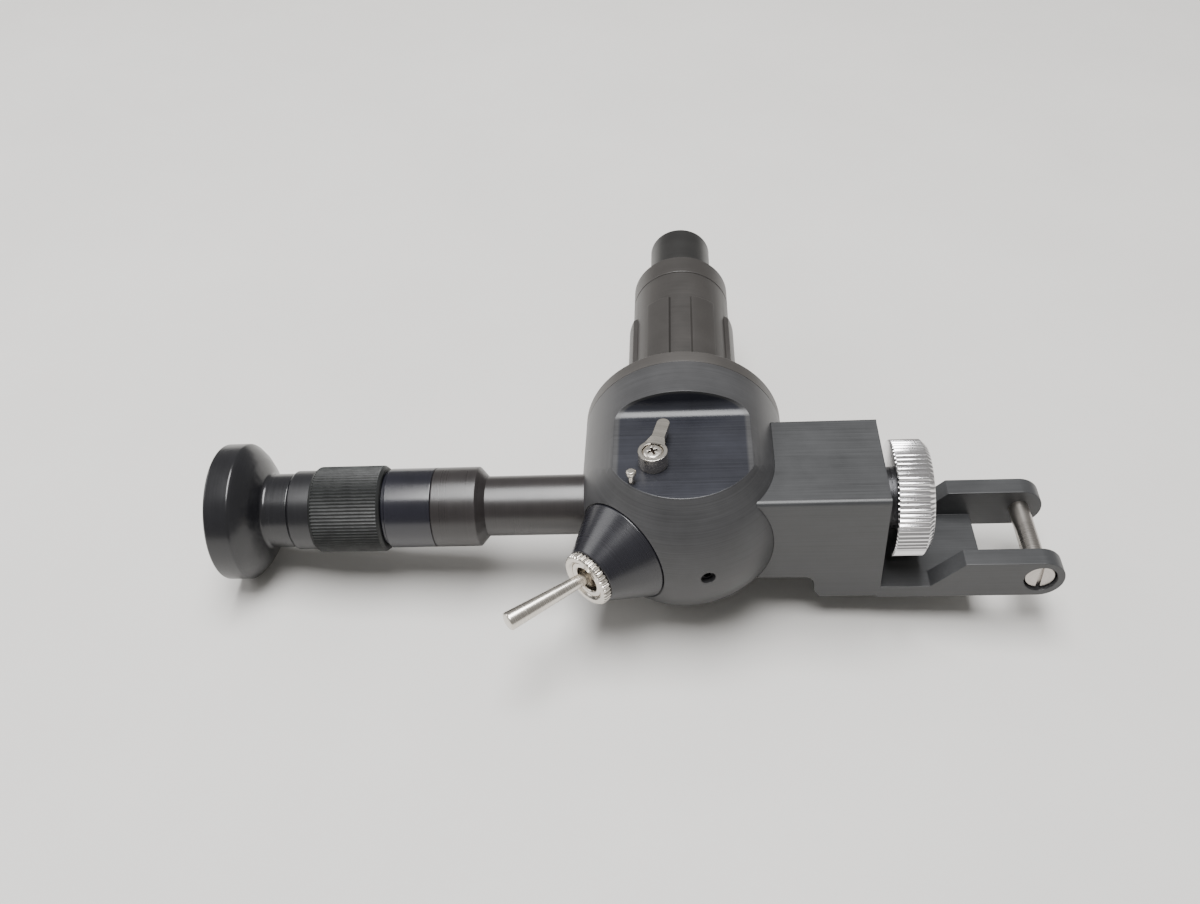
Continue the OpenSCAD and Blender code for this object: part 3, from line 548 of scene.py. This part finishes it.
class LensmeterColours(bpy.types.PropertyGroup):
    """Colours of the finishes and of the stage."""
    head: colour("Head", "Black anodising of the head", 0.046, 0.046, 0.048)
    # Flat: blue black of the milled finish, darkened further as a painted reflection of dark surroundings.
    flat_shade: colour("Flat", "Blue black of the milled flat, darkened as painted reflection", 0.020, 0.021, 0.028)
    bracket: colour("Bracket", "Black anodising of the bracket", 0.036, 0.037, 0.039)
    barrel: colour("Barrel", "Black anodising of the barrel", 0.034, 0.031, 0.029)
    plate: colour("Plate", "Black anodising of the rear plate", 0.052, 0.048, 0.045)
    nose: colour("Nose", "Black anodising of the nose", 0.017, 0.0165, 0.016)
    tube: colour("Tube", "Black anodising of the eyepiece tube", 0.020, 0.017, 0.017)
    gloss: colour("Blackened brass", "Glossy blackened brass of the eyepiece", 0.008, 0.008, 0.014)
    cup: colour("Eyecup", "Satin black of the eyecup", 0.009, 0.009, 0.011)
    knurl: colour("Knurl", "Dull black of the dioptre ring", 0.008, 0.009, 0.009)
    rubbed: colour("Rubbed ridge", "Grey of the rubbed ridges", 0.075, 0.08, 0.077)
    cone: colour("Switch cone", "Blue black of the switch cone", 0.010, 0.010, 0.014)
    nickel: colour("Nickel", "Satin nickel of the lever, nut and toggle", 0.72, 0.68, 0.62)
    # Painted shade: the dark colour laid into the lever screw's cross recess and under its head.
    recess_shade: colour("Painted shade", "Grime in the lever screw's recess", 0.06, 0.045, 0.035)
    chrome: colour("Knob", "Bright aluminium of the clamp knob", 0.86, 0.85, 0.86)
    steel: colour("Steel", "Bare steel of pins and studs", 0.50, 0.47, 0.44)
    dark_steel: colour("Dark steel", "Blackened screws", 0.045, 0.045, 0.048)
    brass: colour("Brass", "Bare brass of the bush and terminals", 0.72, 0.52, 0.24)
    glass: colour("Glass", "Tint of the optical glass", 0.90, 0.95, 0.97)
    filter: colour("Filter", "Green of the contrast filter", 0.12, 0.62, 0.30)
    lamp: colour("Lamp", "Clear lens of the lamp", 0.95, 0.90, 0.70)
    board: colour("Board", "Lacquer of the lamp's board", 0.02, 0.16, 0.06)
    lead: colour("Lead", "Insulation of the lamp's leads", 0.42, 0.02, 0.02)
    moulding: colour("Moulding", "Black moulded plastic", 0.02, 0.02, 0.022)
    floor: colour("Floor", "Pale tabletop", 0.74, 0.725, 0.70)


class LensmeterStage(bpy.types.PropertyGroup):
    """Camera, light and floor."""
    camera_left: length("Camera left", "Camera's place to the left of the optical centre", 15.9)
    camera_front: length("Camera in front", "Camera's place in front of the optical centre", 248.9)
    camera_above: length("Camera above", "Camera's height above the optical centre", 253.3)
    camera_dip: angle("Camera dip", "How far the camera looks down", 43.09)
    camera_turn: angle("Camera turn", "How far the camera turns to the left", 2.377)
    lens: bpy.props.FloatProperty(name="Lens", description="Focal length on a 36 mm wide sensor", default=34.13,
                                  unit="CAMERA")
    panel_left: length("Panel left", "Ceiling light's place to the left of the optical centre", 150)
    panel_back: length("Panel back", "Ceiling light's place behind the optical centre", 20)
    panel_width: length("Panel width", "Width of the ceiling light", 1300)
    panel_shape: share("Panel shape", "Depth of the ceiling light as a share of its width", 0.55)
    panel_height: length("Panel height", "Height of the ceiling light above the optical centre", 1500)
    panel_power: bpy.props.FloatProperty(name="Panel power", description="Power of the ceiling light", default=46,
                                         unit="POWER")
    window_left: length("Window left", "Window light's place to the left of the optical centre", 1500)
    window_back: length("Window back", "Window light's place behind the optical centre", 300)
    window_above: length("Window above", "Window light's height above the optical centre", 900)
    window_width: length("Window width", "Width of the window light", 1200)
    window_depth: length("Window depth", "Depth of the window light", 800)
    window_share: share("Window power", "Power of the window light as a share of the ceiling light's", 0.2)
    sky: bpy.props.FloatProperty(name="Surround", description="Brightness of the even surround", default=0.30,
                                 subtype="FACTOR")
    floor_width: length("Floor width", "Width of the floor", 6000)


def sizes():
    """The size properties."""
    return bpy.context.scene.lensmeter_sizes


def colours():
    """The colour properties."""
    return bpy.context.scene.lensmeter_colours


# ---- operators --------------------------------------------------------------------------------

class LENSMETER_OT_stage(bpy.types.Operator):
    """Floor, soft light and camera"""
    bl_idname = "lensmeter.stage"
    bl_label = "Stage"
    bl_options = {"REGISTER", "UNDO"}

    def execute(self, context):
        stage = context.scene.lensmeter_stage
        low, high = cad_box
        bpy.ops.object.select_all(action="DESELECT")
        bpy.ops.mesh.primitive_grid_add(x_subdivisions=8, y_subdivisions=8, size=stage.floor_width,
                                        location=((low[0] + high[0]) / 2, (low[1] + high[1]) / 2, low[2]))
        floor = bpy.context.active_object
        floor.name = "floor"
        bpy.ops.object.transform_apply(location=True, rotation=False, scale=False)
        floor.data.materials.append(floor_paint("tabletop", colours().floor))
        centre = HEAD.translation
        camera_data = bpy.data.cameras.new("camera")
        camera_data.sensor_width = 36
        camera_data.lens = stage.lens
        camera_data.clip_start = 0.01
        camera = bpy.data.objects.new("camera", camera_data)
        camera.location = centre + Vector((-stage.camera_left, -stage.camera_front, stage.camera_above))
        camera.rotation_euler = (math.pi / 2 - stage.camera_dip, 0, stage.camera_turn)
        bpy.context.scene.collection.objects.link(camera)
        bpy.context.scene.camera = camera
        self.panel("ceiling", centre + Vector((-stage.panel_left, stage.panel_back, stage.panel_height)),
                   stage.panel_width, stage.panel_width * stage.panel_shape, stage.panel_power, centre)
        self.panel("window", centre + Vector((-stage.window_left, stage.window_back, stage.window_above)),
                   stage.window_width, stage.window_depth, stage.panel_power * stage.window_share, centre)
        world = bpy.data.worlds.new("surround")
        world.use_nodes = True
        world.node_tree.nodes["Background"].inputs["Color"].default_value = (1.0, 0.985, 0.96, 1)
        world.node_tree.nodes["Background"].inputs["Strength"].default_value = stage.sky
        bpy.context.scene.world = world
        return {"FINISHED"}

    def panel(self, name, place, width, depth, power, target):
        """One soft light, aimed at a point."""
        light = bpy.data.lights.new(name, "AREA")
        light.shape = "RECTANGLE"
        light.size, light.size_y = width, depth
        light.energy = power
        lamp = bpy.data.objects.new(name, light)
        lamp.location = place
        lamp.rotation_euler = (target - place).to_track_quat("-Z", "Y").to_euler()
        bpy.context.scene.collection.objects.link(lamp)


class LENSMETER_OT_head(bpy.types.Operator):
    """Head and rear plate, with their edges broken"""
    bl_idname = "lensmeter.head"
    bl_label = "Head"
    bl_options = {"REGISTER", "UNDO"}

    def execute(self, context):
        black = head_black("head_anodising", colours().head, colours().flat_shade)
        fit(softened("head_shell", "head_body", sizes().milled_ease), "head_body", black)
        plate_black = turned_metal("plate_anodising", BARREL, colours().plate, 0.0, 0.34, 0.48,
                                   specular_ior_level=0.6)
        fit(softened("plate_shell", "rear_plate", sizes().milled_ease), "rear_plate", plate_black)
        return {"FINISHED"}


class LENSMETER_OT_head_screws(bpy.types.Operator):
    """Plate screws, cell screws and the dome's set screw"""
    bl_idname = "lensmeter.head_screws"
    bl_label = "Head screws"
    bl_options = {"REGISTER", "UNDO"}

    def execute(self, context):
        dark = plain_metal("blackened_screw", colours().dark_steel, 0.9, 0.3, 0.45)
        for name, node in (("plate_screw_set", "rear_plate_screws"), ("cell_screw_set", "cell_screws")):
            fit(softened(name, node, sizes().small_ease), node, dark)
        dress(dark, "dome_screw", "clamp_screws")
        return {"FINISHED"}


class LENSMETER_OT_lever(bpy.types.Operator):
    """Filter lever, its cross recess screw and its stop pin"""
    bl_idname = "lensmeter.lever"
    bl_label = "Filter lever"
    bl_options = {"REGISTER", "UNDO"}

    def execute(self, context):
        nickel = turned_metal("lever_nickel", LEVER, colours().nickel, 1.0, 0.2, 0.34, 0.1, 0.3 * MM, 0.002 * MM)
        fit(softened("lever_arm", "filter_lever", sizes().small_ease * 1.4), "filter_lever", nickel)
        fit(softened("lever_screw_head", "lever_screw", sizes().recess_ease), "lever_screw", self.recessed())
        fit(softened("stop_peg", "stop_pin", sizes().small_ease), "stop_pin", nickel)
        return {"FINISHED"}

    def recessed(self):
        """Nickel, with painted shade darkening the cross recess and the underside of the head."""
        finish = Finish("screw_nickel", LEVER)
        top = span("lever_screw", LEVER)[1]
        # Painted shade: below the screw's top the nickel gives way to the dark recess colour, standing in for shade in
        # the cross recess and under the head.
        unshaded = finish.spread(finish.z, top - 0.75 * MM, top - 0.45 * MM, 0, 1)
        marks = turned_marks(finish, 0.3 * MM)
        bright = finish.blend(marks, shade(colours().nickel, 0.9), shade(colours().nickel, 1.1))
        finish.colour(finish.blend(unshaded, colours().recess_shade, bright))
        finish.rough(finish.spread(unshaded, 0, 1, 0.6, 0.28))
        finish.bump(marks, 0.002 * MM)
        finish.gloss(metallic=1.0)
        return finish.material


class LENSMETER_OT_filter(bpy.types.Operator):
    """Filter frame, its glass, spindle and bush, inside the head"""
    bl_idname = "lensmeter.filter"
    bl_label = "Filter"
    bl_options = {"REGISTER", "UNDO"}

    def execute(self, context):
        dress(turned_metal("frame_black", LEVER, colours().barrel, 0.0, 0.4, 0.55), "filter_frame")
        dress(optical_glass("filter_green", colours().filter), "filter_glass")
        dress(turned_metal("spindle_steel", LEVER, colours().steel, 1.0, 0.18, 0.3, 0.1), "filter_spindle")
        dress(turned_metal("bush_brass", LEVER, colours().brass, 1.0, 0.22, 0.36, 0.1), "spindle_bush")
        return {"FINISHED"}


class LENSMETER_OT_switch(bpy.types.Operator):
    """Switch cone, dress nut, bush, case and terminals"""
    bl_idname = "lensmeter.switch"
    bl_label = "Switch"
    bl_options = {"REGISTER", "UNDO"}

    def execute(self, context):
        cone = turned_metal("cone_anodising", SWITCH, colours().cone, 0.0, 0.2, 0.32, 0.3, 0.4 * MM, 0.003 * MM,
                            specular_ior_level=0.7)
        fit(softened("cone_shell", "switch_cone", sizes().small_ease * 1.5), "switch_cone", cone)
        nickel = turned_metal("nut_nickel", SWITCH, colours().nickel, 1.0, 0.16, 0.3, 0.1, 0.25 * MM, 0.002 * MM)
        fit(self.nut(), "switch_nut", nickel)
        fit(softened("bush_shell", "switch_bush", sizes().small_ease), "switch_bush", nickel)
        dress(moulded("case_moulding", colours().moulding), "switch_case")
        dress(plain_metal("terminal_brass", colours().brass), "switch_terminals")
        return {"FINISHED"}

    def nut(self):
        """The dress nut: a toothed ring with a chamfer on its outer face and a countersunk bore."""
        low, high, radius = span("switch_nut", SWITCH)
        clearance, back_chamfer, countersink = 0.05 * MM, 0.25 * MM, 0.7 * MM
        front_chamfer, front_chamfer_length = 0.6 * MM, 0.55 * MM
        bore = span("switch_bush", SWITCH)[2] + clearance
        outline = [(bore, low), (radius - back_chamfer, low), (radius, low + back_chamfer),
                   (radius, high - front_chamfer_length), (radius - front_chamfer, high), (bore + countersink, high),
                   (bore, high - countersink)]
        teeth, depth = sizes().nut_teeth, sizes().nut_depth
        radii = (radius, radius - depth * 0.25, radius - depth, radius - depth, radius - depth * 0.25, radius)
        return turned("nut_ring", outline, SWITCH, 0.08 * MM, teeth * len(radii),
                      [(low, high - 0.3 * MM, radius, radii)], 20)


class LENSMETER_OT_toggle(bpy.types.Operator):
    """Toggle: a ball, a tapering rod and a flat end with a broken edge"""
    bl_idname = "lensmeter.toggle"
    bl_label = "Toggle"
    bl_options = {"REGISTER", "UNDO"}

    def execute(self, context):
        low, high, _ = span("toggle_lever", TOGGLE)
        ball = -low
        tip = 2.85 * MM
        neck = 1.7 * MM
        meet = math.sqrt(ball * ball - neck * neck)
        arc = [(ball * math.sin(a), -ball * math.cos(a)) for a in (math.radians(d) for d in range(0, 146, 8))]
        outline = [(0, low)] + arc[1:] + [(neck, meet), (neck + 0.1 * MM, 3.2 * MM), (tip, high - 0.7 * MM),
                                          (tip - 0.15 * MM, high - 0.25 * MM), (tip - 0.55 * MM, high), (0, high)]
        nickel = turned_metal("toggle_nickel", TOGGLE, colours().nickel, 1.0, 0.2, 0.34, 0.12, 0.4 * MM, 0.003 * MM)
        fit(turned("toggle_rod", outline, TOGGLE, 0.12 * MM, 64), "toggle_lever", nickel)
        return {"FINISHED"}


class LENSMETER_OT_eyepiece_barrel(bpy.types.Operator):
    """Eyepiece tube, collar and reticle barrel"""
    bl_idname = "lensmeter.eyepiece_barrel"
    bl_label = "Eyepiece barrel"
    bl_options = {"REGISTER", "UNDO"}

    def execute(self, context):
        tube = turned_metal("tube_anodising", EYEPIECE, colours().tube, 0.0, 0.24, 0.38, 0.35, 0.35 * MM, 0.006 * MM,
                            specular_ior_level=0.75)
        fit(softened("tube_shell", "eyepiece_tube", sizes().small_ease), "eyepiece_tube", tube)
        fit(softened("collar_shell", "eyepiece_collar", sizes().turned_ease), "eyepiece_collar", tube)
        gloss = turned_metal("barrel_gloss", EYEPIECE, colours().gloss, 0.0, 0.18, 0.27, 0.3, 0.5 * MM, 0.002 * MM,
                             specular_ior_level=0.8)
        fit(softened("reticle_shell", "reticle_barrel", sizes().small_ease * 1.5), "reticle_barrel", gloss)
        return {"FINISHED"}


class LENSMETER_OT_dioptre_ring(bpy.types.Operator):
    """Dioptre ring with its straight knurl"""
    bl_idname = "lensmeter.dioptre_ring"
    bl_label = "Dioptre ring"
    bl_options = {"REGISTER", "UNDO"}

    def execute(self, context):
        low, high, radius = span("dioptre_ring", EYEPIECE)
        guide = span("field_lens", EYEPIECE)[2] + 2.9 * MM
        step = high - 5.9 * MM
        wide = 12.54 * MM
        chamfer, chamfer_length = 0.8 * MM, 1.1 * MM
        outline = [(guide, low), (radius - chamfer, low), (radius, low + chamfer_length),
                   (radius, high - chamfer_length), (radius - chamfer, high), (wide, high), (wide, step), (guide, step)]
        depth = sizes().dioptre_depth
        radii = (radius, radius - depth * 0.7, radius - depth, radius - depth * 0.7)
        finish = rubbed_knurl("dioptre_knurl", EYEPIECE, colours().knurl, colours().rubbed, radius)
        fit(turned("dioptre_grip", outline, EYEPIECE, sizes().turned_ease, sizes().dioptre_teeth * len(radii),
                   [(low + 1.0 * MM, high - 1.0 * MM, radius, radii)], 20), "dioptre_ring", finish)
        return {"FINISHED"}


class LENSMETER_OT_ocular(bpy.types.Operator):
    """Eyepiece sleeve and eyecup"""
    bl_idname = "lensmeter.ocular"
    bl_label = "Ocular"
    bl_options = {"REGISTER", "UNDO"}

    def execute(self, context):
        sleeve = turned_metal("sleeve_black", EYEPIECE, colours().cup, 0.0, 0.26, 0.36, 0.3, 0.4 * MM, 0.004 * MM,
                              specular_ior_level=0.7)
        fit(softened("sleeve_shell", "eyepiece_sleeve", sizes().small_ease), "eyepiece_sleeve", sleeve)
        cup = turned_metal("cup_black", EYEPIECE, colours().cup, 0.0, 0.2, 0.3, 0.3, 0.5 * MM, 0.003 * MM,
                           specular_ior_level=0.7)
        fit(softened("cup_shell", "eyecup", sizes().rim_ease), "eyecup", cup)
        return {"FINISHED"}


class LENSMETER_OT_optics(bpy.types.Operator):
    """Lenses, prism, reticle and their rings"""
    bl_idname = "lensmeter.optics"
    bl_label = "Optics"
    bl_options = {"REGISTER", "UNDO"}

    def execute(self, context):
        dress(optical_glass("coated_glass", colours().glass), "eye_lens", "field_lens", "objective_lens", "prism")
        dress(self.graticule(), "reticle")
        for node, place in (("reticle_ring", EYEPIECE), ("field_lens_ring", EYEPIECE), ("eye_lens_ring", EYEPIECE),
                            ("objective_ring", BARREL)):
            dress(turned_metal(node + "_black", place, colours().knurl, 0.0, 0.45, 0.6), node)
        return {"FINISHED"}

    def graticule(self):
        """Glass with an engraved circle and cross lines."""
        finish = Finish("engraved_glass", EYEPIECE)
        circle = finish.sum("ABSOLUTE", finish.sum("SUBTRACT", finish.radius(), 5.5 * MM))
        lines = finish.sum("MINIMUM", finish.sum("ABSOLUTE", finish.x), finish.sum("ABSOLUTE", finish.y))
        inked = finish.sum("LESS_THAN", finish.sum("MINIMUM", circle, lines), 0.06 * MM)
        finish.colour(finish.blend(inked, (0.9, 0.95, 0.97), (0.01, 0.01, 0.01)))
        finish.rough(finish.spread(inked, 0, 1, 0.02, 0.6))
        finish.gloss(transmission_weight=1.0, ior=1.52)
        return finish.material


class LENSMETER_OT_focus_ring(bpy.types.Operator):
    """Focus ring with raised lands and flat grooves"""
    bl_idname = "lensmeter.focus_ring"
    bl_label = "Focus ring"
    bl_options = {"REGISTER", "UNDO"}

    def execute(self, context):
        black = turned_metal("focus_anodising", BARREL, colours().barrel, 0.0, 0.34, 0.48, 0.25, 0.4 * MM, 0.004 * MM,
                             specular_ior_level=0.6)
        fit(softened("focus_shell", "focus_ring", sizes().turned_ease), "focus_ring", black)
        return {"FINISHED"}


class LENSMETER_OT_nose(bpy.types.Operator):
    """Barrel tube, nose collar, nose, lens stop and guide pin"""
    bl_idname = "lensmeter.nose"
    bl_label = "Nose"
    bl_options = {"REGISTER", "UNDO"}

    def execute(self, context):
        black = turned_metal("nose_anodising", BARREL, colours().barrel, 0.0, 0.32, 0.46, 0.25, 0.4 * MM, 0.004 * MM,
                             specular_ior_level=0.6)
        dark = turned_metal("stop_anodising", BARREL, colours().nose, 0.0, 0.32, 0.46, 0.25, 0.4 * MM, 0.004 * MM)
        fit(softened("collar_band", "nose_collar", sizes().small_ease), "nose_collar", black)
        for name, node in (("nose_shell", "nose_tube"), ("stop_shell", "lens_stop")):
            fit(softened(name, node, sizes().small_ease), node, dark)
        dress(black, "barrel_tube")
        dress(plain_metal("guide_steel", colours().steel), "guide_pin")
        return {"FINISHED"}


class LENSMETER_OT_bracket(bpy.types.Operator):
    """Bracket block and fork, with their edges broken"""
    bl_idname = "lensmeter.bracket"
    bl_label = "Bracket"
    bl_options = {"REGISTER", "UNDO"}

    def execute(self, context):
        fit(softened("bracket_shell", "bracket", sizes().bracket_ease, 0.5 * MM), "bracket",
            bracket_black("bracket_anodising", colours().bracket))
        return {"FINISHED"}


class LENSMETER_OT_clamp(bpy.types.Operator):
    """Knurled clamp knob, its washer and stud"""
    bl_idname = "lensmeter.clamp"
    bl_label = "Clamp"
    bl_options = {"REGISTER", "UNDO"}

    def execute(self, context):
        chrome = turned_metal("knob_bright", CLAMP, colours().chrome, 1.0, 0.1, 0.22, 0.06, 0.4 * MM, 0.002 * MM)
        fit(self.knob(), "clamp_knob", chrome)
        dress(turned_metal("washer_black", CLAMP, colours().dark_steel, 0.6, 0.3, 0.45), "clamp_washer")
        dress(turned_metal("stud_steel", CLAMP, colours().steel, 1.0, 0.25, 0.4, 0.1, 1.5 * MM, 0.05 * MM),
              "clamp_stud")
        return {"FINISHED"}

    def knob(self):
        """The knob: rounded ridges, a chamfer and a shallow dished face, on a blind bore."""
        low, high, radius = span("clamp_knob", CLAMP)
        bore = span("clamp_stud", CLAMP)[2] + 0.02 * MM
        blind = high - 3 * MM
        back_chamfer, back_chamfer_length, front_chamfer = 0.7 * MM, 0.5 * MM, 1.7 * MM
        dish_edge, dish_floor, dish_depth = 12.5 * MM, 11 * MM, MM
        outline = [(bore, low), (radius - back_chamfer, low), (radius, low + back_chamfer_length),
                   (radius, high - front_chamfer), (radius - front_chamfer, high), (dish_edge, high),
                   (dish_floor, high - dish_depth), (0, high - dish_depth), (0, blind), (bore, blind)]
        depth = sizes().knob_depth
        radii = tuple(radius - depth * share for share in (0.0, 0.12, 0.55, 1.0, 0.55, 0.12))
        return turned("knob_grip", outline, CLAMP, 0.15 * MM, sizes().knob_teeth * len(radii),
                      [(low + 0.3 * MM, high - 1.0 * MM, radius, radii)], 24)


class LENSMETER_OT_hinge_pin(bpy.types.Operator):
    """Slotted hinge pin"""
    bl_idname = "lensmeter.hinge_pin"
    bl_label = "Hinge pin"
    bl_options = {"REGISTER", "UNDO"}

    def execute(self, context):
        steel = turned_metal("pin_steel", HINGE, colours().steel, 1.0, 0.22, 0.36, 0.12, 0.35 * MM, 0.003 * MM)
        fit(softened("hinge_shaft", "hinge_pin", sizes().small_ease), "hinge_pin", steel)
        return {"FINISHED"}


class LENSMETER_OT_lamp(bpy.types.Operator):
    """Lamp, board, cells, leads and the prism's cell, inside the head"""
    bl_idname = "lensmeter.lamp"
    bl_label = "Lamp and prism cell"
    bl_options = {"REGISTER", "UNDO"}

    def execute(self, context):
        dress(moulded("lamp_lens", colours().lamp, 0.08, 0.15, 300.0, transmission_weight=0.7), "lamp")
        dress(board_lacquer("board_lacquer", colours().board, (0.3, 0.22, 0.08)), "lamp_board")
        dress(moulded("holder_moulding", colours().moulding), "battery_holder")
        dress(plain_metal("cell_steel", colours().chrome, 1.0, 0.15, 0.25), "button_cells")
        dress(moulded("lead_insulation", colours().lead, 0.35, 0.5, 700.0), "lamp_leads")
        dress(bracket_black("cell_anodising", colours().bracket), "prism_cell")
        dress(plain_metal("clamp_steel", colours().steel), "prism_clamp")
        return {"FINISHED"}


OPERATORS = (LENSMETER_OT_stage, LENSMETER_OT_head, LENSMETER_OT_head_screws, LENSMETER_OT_lever, LENSMETER_OT_filter,
             LENSMETER_OT_switch, LENSMETER_OT_toggle, LENSMETER_OT_eyepiece_barrel, LENSMETER_OT_dioptre_ring,
             LENSMETER_OT_ocular, LENSMETER_OT_optics, LENSMETER_OT_focus_ring, LENSMETER_OT_nose,
             LENSMETER_OT_bracket, LENSMETER_OT_clamp, LENSMETER_OT_hinge_pin, LENSMETER_OT_lamp)
GROUPS = {"lensmeter_sizes": LensmeterSizes, "lensmeter_colours": LensmeterColours, "lensmeter_stage": LensmeterStage}


class LENSMETER_PT_panel(bpy.types.Panel):
    """Lists the pieces and their sizes"""
    bl_idname = "LENSMETER_PT_panel"
    bl_label = "Lensmeter viewing head"
    bl_space_type = "VIEW_3D"
    bl_region_type = "UI"
    bl_category = "Lensmeter"

    def draw(self, context):
        for group in GROUPS:
            properties = getattr(context.scene, group)
            for name in properties.__annotations__:
                self.layout.prop(properties, name)
        for operator in OPERATORS:
            self.layout.operator(operator.bl_idname)


def register():
    """Registers the classes and their properties."""
    for group in GROUPS.values():
        bpy.utils.register_class(group)
    for name, group in GROUPS.items():
        setattr(bpy.types.Scene, name, bpy.props.PointerProperty(type=group))
    for operator in OPERATORS:
        bpy.utils.register_class(operator)
    bpy.utils.register_class(LENSMETER_PT_panel)


def unregister():
    """Takes them out again."""
    bpy.utils.unregister_class(LENSMETER_PT_panel)
    for operator in reversed(OPERATORS):
        bpy.utils.unregister_class(operator)
    for name, group in GROUPS.items():
        delattr(bpy.types.Scene, name)
        bpy.utils.unregister_class(group)


def main():
    """Makes every piece in order."""
    register()
    bpy.ops.lensmeter.stage()
    bpy.ops.lensmeter.head()
    bpy.ops.lensmeter.head_screws()
    bpy.ops.lensmeter.lever()
    bpy.ops.lensmeter.filter()
    bpy.ops.lensmeter.switch()
    bpy.ops.lensmeter.toggle()
    bpy.ops.lensmeter.eyepiece_barrel()
    bpy.ops.lensmeter.dioptre_ring()
    bpy.ops.lensmeter.ocular()
    bpy.ops.lensmeter.optics()
    bpy.ops.lensmeter.focus_ring()
    bpy.ops.lensmeter.nose()
    bpy.ops.lensmeter.bracket()
    bpy.ops.lensmeter.clamp()
    bpy.ops.lensmeter.hinge_pin()
    bpy.ops.lensmeter.lamp()


if __name__ == "__main__":
    main()
